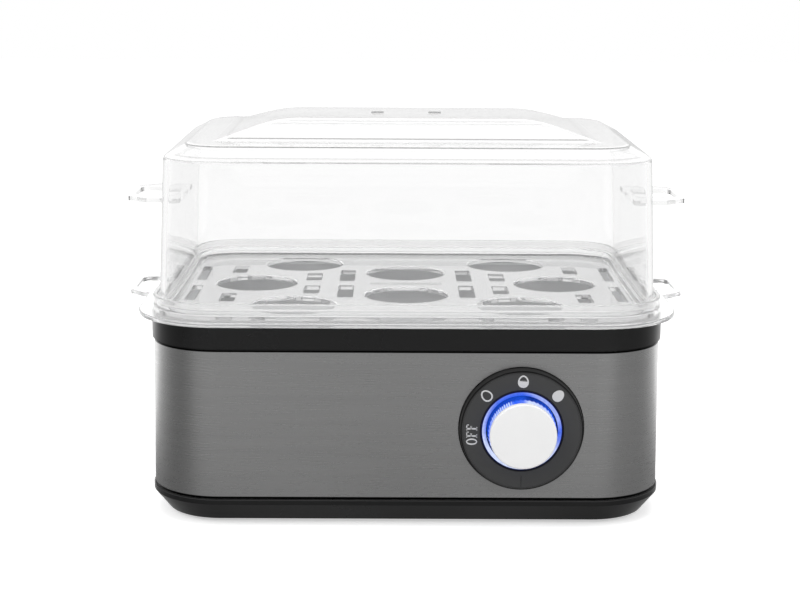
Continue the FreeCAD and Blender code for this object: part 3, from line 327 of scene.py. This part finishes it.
def moulded_grain():
    """Group for moulded and rubber surfaces: a fine even grain, and slow patches of wear. Height
    is the grain, Tone the patches from 0 to 1, Dull a roughness between Low and High."""
    group, given, made = new_group(
        "moulded_grain", [("Grain", 2500.0), ("Patch", 30.0), ("Low", 0.3), ("High", 0.5)],
        ["Height", "Tone", "Dull"])
    fine = noise(group, given.outputs["Vector"], given.outputs["Grain"], detail=3)
    group.links.new(fine, made.inputs["Height"])
    slow = noise(group, given.outputs["Vector"], given.outputs["Patch"], detail=4)
    group.links.new(slow, made.inputs["Tone"])
    dull = span(group, slow, noise_low, noise_high, given.outputs["Low"], given.outputs["High"])
    group.links.new(dull, made.inputs["Dull"])
    return group


grain_group = moulded_grain()


def place_group(tree, group, place, **values):
    """One instance of a node group, with its Vector linked and its own values set."""
    node = add(tree, "ShaderNodeGroup")
    node.node_tree = group
    tree.links.new(place, node.inputs["Vector"])
    for key, value in values.items():
        node.inputs[key].default_value = value
    return node


def bump(tree, shader, height, depth):
    """Feed a height in metres of a given depth to the shader's Normal."""
    node = add(tree, "ShaderNodeBump")
    node.inputs["Distance"].default_value = depth
    node.inputs["Strength"].default_value = 1.0
    tree.links.new(height, node.inputs["Height"])
    tree.links.new(node.outputs["Normal"], shader.inputs["Normal"])


def tint(tree, shader, amount, low, high):
    """Base Color between two colours by an amount from 0 to 1."""
    tree.links.new(blend(tree, amount, low, high), shader.inputs["Base Color"])


def moulded(name, low, high, rough, grain, depth, patch=30.0, **settings):
    """A finish of moulded stuff: two near tones in patches, fine grain, uneven gloss."""
    material, tree, shader, place = finish(name, low, **settings)
    node = place_group(tree, grain_group, place, Grain=grain, Patch=patch,
                       Low=rough[0], High=rough[1])
    tint(tree, shader, node.outputs["Tone"], low, high)
    tree.links.new(node.outputs["Dull"], shader.inputs["Roughness"])
    bump(tree, shader, node.outputs["Height"], depth)
    return material


def dress(material, *names):
    """Give CAD nodes a finish through their material slots."""
    for name in names:
        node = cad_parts[name]
        for slot in node.material_slots:
            slot.material = material


rubber = moulded("rubber", rubber_low, rubber_high, rough=(0.62, 0.85), grain=1800.0,
                 depth=0.00004)
dress(rubber, "rubber_feet", "cord_entry")

# Base tray and top collar. Black polypropylene with a fine spark-eroded grain, half matt; the
# collar clamps the steel band and the tray closes it from below. A thin band just below the tray's
# rim is lighter, a painted highlight where its rounded edge catches the light, and its lip in the
# open seam with the band is painted black and made to mirror almost nothing: painted shade.
black_low = (0.004, 0.004, 0.0041, 1)
black_high = (0.006, 0.006, 0.0061, 1)
# Colour of the painted shade in the seams above and below the steel band.
seam_shade = (0.004, 0.004, 0.004, 1)
seam_soft = 0.0003
tray_rim = 0.0119
rim_low = 0.0112
# Colour of the painted highlight on the tray's rounded rim.
rim_highlight = (0.03, 0.03, 0.03, 1)
black_grain = dict(rough=(0.26, 0.36), grain=2600.0, depth=0.000012, IOR=1.49)
black_plastic = moulded("black_plastic", black_low, black_high, **black_grain)
dress(black_plastic, "top_collar", "dial_carrier", "cord_clamp")
tray_plastic = moulded("tray_plastic", black_low, black_high, Sheen_Weight=0.3,
                       Sheen_Roughness=0.3, **black_grain)


def fade_between(tree, value, low, high):
    """A value turned into 0 below one limit and 1 above another, with soft ends."""
    return span(tree, value, low, high, ends="SMOOTHSTEP")


def laid_over(material):
    """What a layer over a finish needs: its tree, shader, colour so far and height Z."""
    tree = material.node_tree
    shader = next(node for node in tree.nodes if node.type == "BSDF_PRINCIPLED")
    parts = add(tree, "ShaderNodeSeparateXYZ")
    tree.links.new(add(tree, "ShaderNodeTexCoord").outputs["Object"], parts.inputs[0])
    return tree, shader, shader.inputs["Base Color"].links[0].from_socket, parts.outputs["Z"]


tree, shader, skin, height = laid_over(tray_plastic)
# Painted highlight: lighter just below the tray's rim. Painted shade: the lip in the seam above it is
# black and Metallic, so it mirrors almost nothing.
skin = blend(tree, fade_between(tree, height, rim_low, rim_low + seam_soft), skin, rim_highlight)
seam_shade_mask = fade_between(tree, height, tray_rim - seam_soft, tray_rim)
tree.links.new(blend(tree, seam_shade_mask, skin, seam_shade), shader.inputs["Base Color"])
tree.links.new(seam_shade_mask, shader.inputs["Metallic"])
dress(tray_plastic, "base_tray")

# Steel band. Thin stainless sheet wrapped round the case, brushed along its length, so that it
# mirrors the room sideways in soft upright streaks. Its edges run into the seams with the collar
# above and the tray below, and there it is painted dark: painted shade of the seams.
steel_low = (0.54, 0.54, 0.54, 1)
steel_high = (0.6, 0.6, 0.598, 1)
seam_bottom = 0.07355
seam_top = 0.0131
fine_share = 0.7
slow_scale = 0.16


def brushed_lines():
    """Group for brushed and drawn metal: long fine lines from noise on a stretched place. Height
    is the scratches, Tone slow streaks, Dull a roughness between Low and High."""
    group, given, made = new_group(
        "brushed_lines", [("Low", 0.25), ("High", 0.42)], ["Height", "Tone", "Dull"])
    fine = noise(group, given.outputs["Vector"], 1.0, detail=4)
    fine.node.inputs["Roughness"].default_value = fine_share
    group.links.new(fine, made.inputs["Height"])
    slow = noise(group, given.outputs["Vector"], slow_scale, detail=3)
    group.links.new(slow, made.inputs["Tone"])
    dull = span(group, fine, noise_low, noise_high, given.outputs["Low"], given.outputs["High"])
    group.links.new(dull, made.inputs["Dull"])
    return group


brushed_group = brushed_lines()


def brushed(name, low, high, rough, stretch, depth, **settings):
    """A finish of brushed metal, its lines drawn out by a stretch in lines per metre."""
    material, tree, shader, place = finish(name, low, Metallic=1.0, **settings)
    mapping = add(tree, "ShaderNodeMapping")
    mapping.inputs["Scale"].default_value = stretch
    tree.links.new(place, mapping.inputs["Vector"])
    node = place_group(tree, brushed_group, mapping.outputs["Vector"],
                       Low=rough[0], High=rough[1])
    tint(tree, shader, node.outputs["Tone"], low, high)
    tree.links.new(node.outputs["Dull"], shader.inputs["Roughness"])
    bump(tree, shader, node.outputs["Height"], depth)
    return material


steel = brushed("brushed_steel", steel_low, steel_high, rough=(0.24, 0.36),
                stretch=(110, 110, 2400), depth=0.0000025, Anisotropic=0.75,
                Anisotropic_Rotation=0.25)
tree, shader, sheet, height = laid_over(steel)
# Painted shade: the band goes dark at its top and bottom edges, in the seams.
for level, deep in ((seam_bottom, seam_bottom + seam_soft), (seam_top, seam_top - seam_soft)):
    sheet = blend(tree, fade_between(tree, height, level, deep), sheet, seam_shade)
tree.links.new(sheet, shader.inputs["Base Color"])
tangent = add(tree, "ShaderNodeTangent")
tangent.direction_type = "RADIAL"
tangent.axis = "Z"
tree.links.new(tangent.outputs[0], shader.inputs["Tangent"])
dress(steel, "steel_band")

# Screws, nuts, studs, tabs and the small sheet clips. Zinc-plated steel with a faint bluish
# bloom; the regulator's nut is brass, and the heat shield galvanised sheet with its crystals.
zinc_low = (0.5, 0.51, 0.52, 1)
zinc_high = (0.66, 0.66, 0.64, 1)
crystal_scale = 160
crystal_depth = 0.00001
crystal_rough = (0.3, 0.5)
fine_metal = dict(grain=900.0, depth=0.00001, patch=180.0, Metallic=1.0)
zinc = moulded("zinc_steel", zinc_low, zinc_high, rough=(0.28, 0.45), **fine_metal)
dress(zinc, "case_screws", "carrier_screws", "clamp_screws", "pan_studs", "stud_nuts",
      "stud_sleeves", "element_terminals", "fuse_clip", "knob_spindle", "spindle_clip")
brass = moulded("brass", (0.55, 0.4, 0.16, 1), (0.68, 0.5, 0.22, 1), rough=(0.25, 0.4),
                **fine_metal)
dress(brass, "regulator_nut")
galvanised, tree, shader, place = finish("galvanised", zinc_low, Metallic=1.0)
crystals = add(tree, "ShaderNodeTexVoronoi")
crystals.inputs["Scale"].default_value = crystal_scale
tree.links.new(place, crystals.inputs["Vector"])
facet = add(tree, "ShaderNodeSeparateColor")
tree.links.new(crystals.outputs["Color"], facet.inputs["Color"])
tint(tree, shader, facet.outputs["Red"], zinc_low, zinc_high)
facet_rough = span(tree, facet.outputs["Green"], 0.0, 1.0, *crystal_rough)
tree.links.new(facet_rough, shader.inputs["Roughness"])
bump(tree, shader, facet.outputs["Blue"], crystal_depth)
dress(galvanised, "heat_shield")

# Heating pan and its silicone seal. A drawn steel pan with a grey fired coating, satin, finely
# speckled; the seal is a flat ring of grey silicone under its flange.
coat_low = (0.45, 0.45, 0.452, 1)
coat_high = (0.53, 0.53, 0.532, 1)
coat_depth = 0.000015
speck_scale = 3200
speck_low = 0.62
speck_high = 0.7
pan_coat, tree, shader, place = finish("pan_coating", coat_low, IOR=1.5)
node = place_group(tree, grain_group, place, Grain=1400.0, Patch=45.0, Low=0.28, High=0.38)
speck = noise(tree, place, speck_scale, detail=1)
tint(tree, shader, span(tree, speck, speck_low, speck_high), coat_low, coat_high)
tree.links.new(node.outputs["Dull"], shader.inputs["Roughness"])
bump(tree, shader, node.outputs["Height"], coat_depth)
dress(pan_coat, "heating_pan")
silicone = moulded("silicone", (0.22, 0.22, 0.215, 1), (0.28, 0.28, 0.27, 1), rough=(0.5, 0.65),
                   grain=1500.0, depth=0.00002)
dress(silicone, "pan_seal")

# Under the pan and behind the dial: cast aluminium spreader plate, tubular element with its fired
# oxide skin, ceramic block, cut-out, fuse and regulator body, sleeved leads and circuit board.
aluminium = brushed("spreader_aluminium", (0.6, 0.6, 0.61, 1), (0.72, 0.72, 0.73, 1),
                    rough=(0.3, 0.5), stretch=(60, 1800, 1800), depth=0.000008)
dress(aluminium, "spreader_plate")
element_steel = moulded("element_steel", (0.1, 0.095, 0.09, 1), (0.2, 0.17, 0.15, 1),
                        rough=(0.4, 0.6), grain=1200.0, depth=0.00001, patch=90.0, Metallic=0.8)
dress(element_steel, "heating_element")
ceramic = moulded("ceramic", (0.66, 0.64, 0.6, 1), (0.76, 0.74, 0.7, 1), rough=(0.35, 0.55),
                  grain=1600.0, depth=0.00002)
dress(ceramic, "terminal_block", "regulator_body", "limit_thermostat", "thermal_fuse")
sleeve = moulded("wire_sleeve", (0.5, 0.5, 0.48, 1), (0.6, 0.6, 0.58, 1), rough=(0.45, 0.6),
                 grain=2400.0, depth=0.00003)
dress(sleeve, "inner_leads")
board = moulded("board_green", (0.012, 0.075, 0.035, 1), (0.02, 0.11, 0.05, 1),
                rough=(0.35, 0.5), grain=900.0, depth=0.00002, patch=120.0)
dress(board, "light_board")

# Dial plate, its housing and what is printed on it. The housing is a gloss black ring with a
# satin lip; the plate in it is satin dark grey plastic with a black inner lip, screen printed in
# light grey: OFF at the left, reading upwards, and three eggs for soft, medium and hard; a fine
# dark index line at the bottom.
plate_low = (0.036, 0.036, 0.0355, 1)
plate_high = (0.046, 0.046, 0.0455, 1)
plate_black = (0.002, 0.002, 0.002, 1)
plate_lip = 0.0172
plate_edge = 0.0237
plate_edge_soft = 0.0006
plate_depth = 0.000008
housing_lip = 0.0245
lip_soft = 0.00005
print_low = (0.49, 0.49, 0.488, 1)
print_high = (0.53, 0.53, 0.528, 1)
index_colour = (0.012, 0.012, 0.012, 1)
index_high = (0.018, 0.018, 0.018, 1)
dial_x = 0.0468
dial_z = 0.0424
print_height = 0.00005
egg_tall = 0.0052
egg_wide = 0.0044
egg_line = 0.0006
egg_reach = 0.02069
egg_taper = 0.12
egg_half_level = 0.0003
ring_points = 40
soft_angle = math.radians(-44.6)
medium_angle = math.radians(0.5)
hard_angle = math.radians(44.3)
word_place = (-0.02039, -0.0015)
letter_height = 0.0045
letter_width = 0.0027
letter_step = 0.00305
letter_stroke = 0.00062
hair_stroke = 0.00042
serif = 0.00078
serif_drop = 1.3
top_arm = 0.94
middle_arm = 0.7
arm_rise = 0.12
index_half = 0.00016
index_span = (-0.0236, -0.0189)
dial_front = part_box("dial_plate")[0].y


def round_dial():
    """Group that gives places on the dial: Turn runs from 0 at the bottom clockwise to 1, with
    0.5 at the top, and Reach is the distance from the dial's middle in metres."""
    group, given, made = new_group("round_dial", [], ["Turn", "Reach"])
    moved = add(group, "ShaderNodeVectorMath", operation="SUBTRACT")
    moved.inputs[1].default_value = (dial_x, 0, dial_z)
    group.links.new(given.outputs["Vector"], moved.inputs[0])
    parts = add(group, "ShaderNodeSeparateXYZ")
    group.links.new(moved.outputs["Vector"], parts.inputs[0])
    angle = worked(group, "ARCTAN2", parts.outputs["X"], parts.outputs["Z"])
    group.links.new(span(group, angle, -math.pi, math.pi), made.inputs["Turn"])
    flat = add(group, "ShaderNodeCombineXYZ")
    group.links.new(parts.outputs["X"], flat.inputs["X"])
    group.links.new(parts.outputs["Z"], flat.inputs["Z"])
    reach = add(group, "ShaderNodeVectorMath", operation="LENGTH")
    group.links.new(flat.outputs["Vector"], reach.inputs[0])
    group.links.new(reach.outputs["Value"], made.inputs["Reach"])
    return group


round_group = round_dial()


dial_plate, tree, shader, place = finish("dial_plate", plate_low, IOR=1.47)
node = place_group(tree, grain_group, place, Grain=3000.0, Patch=25.0, Low=0.4, High=0.5)
spot = place_group(tree, round_group, place)
reach = spot.outputs["Reach"]
satin = blend(tree, node.outputs["Tone"], plate_low, plate_high)
lipped = blend(tree, fade_between(tree, reach, plate_lip - lip_soft, plate_lip), plate_black, satin)
rim = fade_between(tree, reach, plate_edge, plate_edge + plate_edge_soft)
tint(tree, shader, rim, lipped, plate_black)
tree.links.new(node.outputs["Dull"], shader.inputs["Roughness"])
bump(tree, shader, node.outputs["Height"], plate_depth)
dress(dial_plate, "dial_plate")
housing, tree, shader, place = finish("dial_housing", plate_black, IOR=1.36)
node = place_group(tree, grain_group, place, Grain=3000.0, Patch=25.0, Low=0.25, High=0.32)
spot = place_group(tree, round_group, place)
lip = fade_between(tree, spot.outputs["Reach"], housing_lip - lip_soft, housing_lip)
tint(tree, shader, lip, plate_low, plate_black)
tree.links.new(node.outputs["Dull"], shader.inputs["Roughness"])
bump(tree, shader, node.outputs["Height"], plate_depth)
dress(housing, "dial_surround")
print_ink = moulded("print_ink", print_low, print_high, rough=(0.45, 0.55), grain=2500.0,
                    depth=0.000005)
index_ink = moulded("index_ink", index_colour, index_high, rough=(0.4, 0.5), grain=2500.0,
                    depth=0.000005)


def egg_points(wide, tall):
    """Outline of an egg: a turn round an ellipse whose width shrinks a little towards its top."""
    turn = np.linspace(0, 2 * math.pi, ring_points, endpoint=False)
    across = wide / 2 * np.cos(turn) * (1 - egg_taper * np.sin(turn))
    return np.column_stack([across, tall / 2 * np.sin(turn)])


def printed(name, outlines, turn, place, ink=print_ink):
    """Flat ink on the dial. Each outline is a strip between an inner and an outer ring, or one
    filled ring; points are turned about their own middle, moved to a place and raised."""
    points, faces = [], []
    cos, sin = math.cos(turn), math.sin(turn)
    spin = np.array([[cos, sin], [-sin, cos]])
    for ring in outlines:
        start = len(points)
        if isinstance(ring, tuple):
            inner, outer = ring
            count = len(inner)
            points.extend(np.vstack([inner, outer]))
            for i in range(count):
                j = (i + 1) % count
                faces.append((start + i, start + j, start + count + j, start + count + i))
        else:
            points.extend(ring)
            faces.append(tuple(range(start, start + len(ring))))
    flat = np.array(points) @ spin + np.array(place)
    count = len(flat)
    front = np.column_stack([dial_x + flat[:, 0], np.full(count, dial_front - print_height),
                             dial_z + flat[:, 1]])
    mesh = bpy.data.meshes.new(name)
    mesh.from_pydata(front.tolist(), [], faces)
    mesh.update()
    turned_in = [p for p in mesh.polygons if p.normal.y > 0]
    for polygon in turned_in:
        polygon.flip()
    mesh.materials.append(ink)
    piece = bpy.data.objects.new(name, mesh)
    bpy.context.scene.collection.objects.link(piece)
    thick = piece.modifiers.new("thickness", "SOLIDIFY")
    thick.thickness = print_height
    thick.offset = -1
    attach(piece, "base")
    return piece


def bar(x_low, x_high, y_low, y_high):
    """A printed rectangle."""
    return np.array([(x_low, y_low), (x_high, y_low), (x_high, y_high), (x_low, y_high)])


def letter_o(left):
    """Round letter, drawn upright from its left edge: thicker at the sides."""
    turn = np.linspace(0, 2 * math.pi, ring_points, endpoint=False)
    middle = np.array([left + letter_width / 2, 0])
    outer = np.column_stack([letter_width / 2 * np.cos(turn), letter_height / 2 * np.sin(turn)])
    inner = np.column_stack([(letter_width / 2 - letter_stroke) * np.cos(turn),
                             (letter_height / 2 - hair_stroke) * np.sin(turn)])
    return [(inner + middle, outer + middle)]


def letter_f(left):
    """Letter with a stem, two arms and slab serifs, drawn upright from its left edge."""
    low, high = -letter_height / 2, letter_height / 2
    stem = left + serif / 2
    right = left + letter_width * top_arm
    arm = left + letter_width * middle_arm
    middle = high * arm_rise
    return [
        bar(stem, stem + letter_stroke, low, high),
        bar(left, stem + letter_stroke + serif / 2, low, low + hair_stroke),
        bar(left, right, high - hair_stroke, high),
        bar(right - hair_stroke, right, high - serif * serif_drop, high),
        bar(stem, arm, middle - hair_stroke / 2, middle + hair_stroke / 2),
        bar(arm - hair_stroke, arm, middle - serif / 2, middle + serif / 2),
    ]


def on_ring(angle, reach):
    """Place at a distance from the dial's middle, by an angle clockwise from the top."""
    return reach * math.sin(angle), reach * math.cos(angle)


start = -(2 * letter_step + letter_width) / 2
word = letter_o(start) + letter_f(start + letter_step) + letter_f(start + 2 * letter_step)
printed("print_off", word, math.pi / 2, word_place)
ring = egg_points(egg_wide, egg_tall)
inner_ring = egg_points(egg_wide - 2 * egg_line, egg_tall - 2 * egg_line)
printed("print_egg_soft", [(inner_ring, ring)], -soft_angle, on_ring(soft_angle, egg_reach))
below = inner_ring[inner_ring[:, 1] < egg_half_level]
yolk_edge = np.abs(below[:, 0]).max()
yolk = np.vstack([[(yolk_edge, egg_half_level)], [(-yolk_edge, egg_half_level)],
                  below[np.argsort(np.arctan2(below[:, 1], below[:, 0]))]])
printed("print_egg_medium", [(inner_ring, ring), yolk], 0, on_ring(medium_angle, egg_reach))
printed("print_egg_hard", [ring], -hard_angle, on_ring(hard_angle, egg_reach))
printed("print_index", [bar(-index_half, index_half, *index_span)], 0, (0, 0), index_ink)

# Light ring, lamps and knob. A clear ring and the knob's clear ribbed skirt carry the blue of
# the small lamps to the front; the ring's glow is paler in some turns and deep blue in others.
# The skirt's pale patches and pale rib stripes are painted highlights by turn round the dial, and
# the thin dark lines at the ring's edges are painted shade of the gaps. The cap is a satin silver
# disc. Turns run clockwise from the bottom.
# Pale blue of the ring's and lamps' glow, also used for the skirt's painted highlights.
pale_glow_and_highlight = (0.62, 0.7, 0.95, 1)
deep_glow = (0.012, 0.1, 0.82, 1)
# Dim blue of the skirt's foot, also the painted shade of the gaps at the light ring's edges.
dim_glow_and_gap_shade = (0.0005, 0.002, 0.05, 1)
# Colour of the painted highlight stripes on the skirt's ribs.
rib_highlight = (0.7, 0.85, 1.0, 1)
ring_outer_pale = ((0.0, 1.0), (0.2, 1.0), (0.28, 0.66), (0.34, 0.5), (0.39, 0.12), (0.5, 0.06),
                   (0.55, 0.5), (0.69, 0.55), (0.745, 0.08), (0.79, 0.2), (0.84, 0.95), (1.0, 1.0))
ring_inner_pale = ((0.0, 0.9), (0.17, 0.95), (0.25, 0.35), (0.33, 0.15), (0.38, 0.02),
                   (0.53, 0.02), (0.58, 0.5), (0.7, 0.55), (0.76, 0.03), (0.86, 0.85), (1.0, 0.9))
# Turns where the skirt's head shows painted highlights, where its foot is dim, and where its ribs get
# painted highlight stripes.
skirt_highlight = ((0.18, 0.65), (0.25, 0.12), (0.33, 0.38), (0.42, 0.34), (0.46, 0.0), (0.5, 0.14),
              (0.525, 1.0), (0.56, 0.9), (0.62, 0.7), (0.68, 0.2), (0.74, 0.0), (0.82, 0.65))
skirt_night = ((0.3, 0.55), (0.45, 0.4), (0.5, 0.3), (0.54, 0.75), (0.62, 0.45), (0.68, 0.3),
               (0.76, 0.65), (0.9, 0.5))
rib_window = ((0.3, 0.0), (0.34, 0.6), (0.43, 0.9), (0.455, 0.0), (0.6, 0.0), (0.64, 0.35),
              (0.7, 0.0))
ring_out = 0.01612
ring_in = 0.01472
line_soft = 0.00012
rib_count = 84
rib_low = -0.2
rib_high = 0.9
glow_level = 1.0
glow_spread = 0.35
glow_scale = 900
glow_depth = 0.00003
foot_to_head = (0.3, 0.6)
ribs_from = (0.2, 0.4)
ring_base = (0.01, 0.012, 0.03, 1)
skirt_base = (0.005, 0.008, 0.03, 1)
lamp_base = (0.4, 0.6, 1.0, 1)
skirt_sunk = 0.0003
skirt_back = dial_front - skirt_sunk
skirt_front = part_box("knob_cap")[1].y
cap_low = (0.69, 0.69, 0.692, 1)
cap_high = (0.73, 0.73, 0.728, 1)


def by_turn(tree, turn, marks):
    """A value that changes along the turn round the dial."""
    ramp = stops(add(tree, "ShaderNodeValToRGB"), marks)
    tree.links.new(turn, ramp.inputs["Fac"])
    return ramp.outputs["Color"]


def lit_plastic(shade, tree, shader, place):
    """Feed a colour to the glow of clear plastic, broken up a little by noise, over a dark base."""
    cloud = noise(tree, place, glow_scale, detail=3)
    level = span(tree, cloud, 0.0, 1.0, glow_level - glow_spread, glow_level + glow_spread)
    tree.links.new(shade, shader.inputs["Emission Color"])
    tree.links.new(level, shader.inputs["Emission Strength"])
    bump(tree, shader, cloud, glow_depth)


ring_lit, tree, shader, place = finish("light_guide", ring_base, Roughness=0.15)
spot = place_group(tree, round_group, place)
turn, reach = spot.outputs["Turn"], spot.outputs["Reach"]
outer = blend(tree, by_turn(tree, turn, ring_outer_pale), deep_glow, pale_glow_and_highlight)
inner = blend(tree, by_turn(tree, turn, ring_inner_pale), deep_glow, pale_glow_and_highlight)
both = blend(tree, fade_between(tree, reach, ring_in, ring_out), inner, outer)
# Painted shade: thin dark lines at the ring's inner and outer edges, in the gaps to the knob and the
# plate.
held = blend(tree, fade_between(tree, reach, ring_in - line_soft, ring_in), dim_glow_and_gap_shade, both)
held = blend(tree, fade_between(tree, reach, ring_out, ring_out + line_soft), held, dim_glow_and_gap_shade)
lit_plastic(held, tree, shader, place)
dress(ring_lit, "light_ring")

skirt_lit, tree, shader, place = finish("knob_clear", skirt_base, Roughness=0.12)
spot = place_group(tree, round_group, place)
turn = spot.outputs["Turn"]
foot = blend(tree, by_turn(tree, turn, skirt_night), deep_glow, dim_glow_and_gap_shade)
# Painted highlights: the head of the skirt is pale in patches by turn round the dial.
head = blend(tree, by_turn(tree, turn, skirt_highlight), deep_glow, pale_glow_and_highlight)
parts = add(tree, "ShaderNodeSeparateXYZ")
tree.links.new(place, parts.inputs[0])
along = span(tree, parts.outputs["Y"], skirt_back, skirt_front)
both = blend(tree, fade_between(tree, along, *foot_to_head), foot, head)
# Painted highlights: pale stripes along the ribs in a window of turns.
rib = worked(tree, "SINE", worked(tree, "MULTIPLY", turn, 2 * math.pi * rib_count))
ribbed = worked(tree, "MULTIPLY", fade_between(tree, rib, rib_low, rib_high),
                by_turn(tree, turn, rib_window))
upper = worked(tree, "MULTIPLY", ribbed, fade_between(tree, along, *ribs_from))
lit_plastic(blend(tree, upper, both, rib_highlight), tree, shader, place)
dress(skirt_lit, "knob_skirt")

lamp_lit, tree, shader, place = finish("lamp", lamp_base, Roughness=0.3)
node = place_group(tree, grain_group, place, Grain=1500.0, Patch=400.0, Low=0.2, High=0.4)
lit_plastic(blend(tree, node.outputs["Tone"], deep_glow, pale_glow_and_highlight), tree, shader, place)
dress(lamp_lit, "lights")
cap_silver = moulded("cap_silver", cap_low, cap_high, rough=(0.4, 0.5), grain=2200.0,
                     depth=0.000006, patch=60.0)
dress(cap_silver, "knob_cap")

# Egg rack and lid. Both are moulded in clear polystyrene. It shows the white room behind it,
# mirrors it at a slant, and goes grey where its walls turn edge-on, partly from the room's darker
# sides and partly as painted shade in its colour. After a few turns inside a wall the light is let
# out straight on, because the room beyond is as white there. The lid's two folds, at the top of
# its walls and of its shoulder, get a thin grey line painted by height: painted shade.
depth_colour = (0.5, 0.5, 0.5, 1)
shadow_tint = (0.93, 0.935, 0.94, 1)
late_tint = (0.88, 0.88, 0.88, 1)
late_bounce = 5.5
ripple_scale = 28.0
haze_scale = 22.0
crease_half = 0.0004
# Heights and colours of the painted shade lines along the lid's two folds.
crown_crease_shade = (0.1552, (0.03, 0.03, 0.03, 1))
wall_crease_shade = (0.1503, (0.45, 0.45, 0.45, 1))


def clear_plastic(name, flat_tint, edge_shade, edge_from, density, haze, ripple, **settings):
    """Clear moulded plastic: glass with faint haze in patches, a slow ripple of the mould and a
    painted grey shade where it is seen at a slant, and open to the lamps' shadow rays."""
    material, tree, shader, place = finish(name, flat_tint, **settings)
    node = place_group(tree, grain_group, place, Grain=ripple_scale, Patch=haze_scale,
                       Low=haze[0], High=haze[1])
    tree.links.new(node.outputs["Dull"], shader.inputs["Roughness"])
    bump(tree, shader, node.outputs["Height"], ripple)
    # Painted shade: the colour goes greyer where the plastic is seen at a slant.
    slant = add(tree, "ShaderNodeLayerWeight")
    slant.inputs["Blend"].default_value = 0.5
    amount = span(tree, slant.outputs["Facing"], edge_from, 1.0)
    tint(tree, shader, amount, flat_tint, edge_shade)
    path = add(tree, "ShaderNodeLightPath")
    late = worked(tree, "GREATER_THAN", path.outputs["Ray Depth"], late_bounce)
    let_out = worked(tree, "MAXIMUM", path.outputs["Is Shadow Ray"], late)
    open_way = add(tree, "ShaderNodeBsdfTransparent")
    tree.links.new(blend(tree, path.outputs["Is Shadow Ray"], late_tint, shadow_tint),
                   open_way.inputs["Color"])
    both = add(tree, "ShaderNodeMixShader")
    out = next(n for n in tree.nodes if n.type == "OUTPUT_MATERIAL")
    tree.links.new(let_out, both.inputs["Fac"])
    tree.links.new(shader.outputs[0], both.inputs[1])
    tree.links.new(open_way.outputs[0], both.inputs[2])
    tree.links.new(both.outputs[0], out.inputs["Surface"])
    depth = add(tree, "ShaderNodeVolumeAbsorption")
    depth.inputs["Color"].default_value = depth_colour
    depth.inputs["Density"].default_value = density
    tree.links.new(depth.outputs[0], out.inputs["Volume"])
    return material


rack_clear = clear_plastic("rack_clear", flat_tint=(0.99, 0.99, 0.99, 1),
                           edge_shade=(0.97, 0.97, 0.97, 1), edge_from=0.6, density=8.0,
                           haze=(0.01, 0.04), ripple=0.00006, IOR=1.55, Transmission_Weight=0.88)
dress(rack_clear, "egg_rack")
lid_clear = clear_plastic("lid_clear", flat_tint=(0.992, 0.992, 0.992, 1),
                          edge_shade=(0.55, 0.55, 0.55, 1), edge_from=0.87, density=18.0,
                          haze=(0.0, 0.02), ripple=0.00005, IOR=1.5, Transmission_Weight=1.0)
tree, shader, skin, height = laid_over(lid_clear)
# Painted shade: thin grey lines along the lid's two folds, set by height.
for level, grey in (crown_crease_shade, wall_crease_shade):
    rise = fade_between(tree, height, level - crease_half, level)
    fall = fade_between(tree, height, level + crease_half, level)
    skin = blend(tree, worked(tree, "MULTIPLY", rise, fall), skin, grey)
tree.links.new(skin, shader.inputs["Base Color"])
dress(lid_clear, "lid")
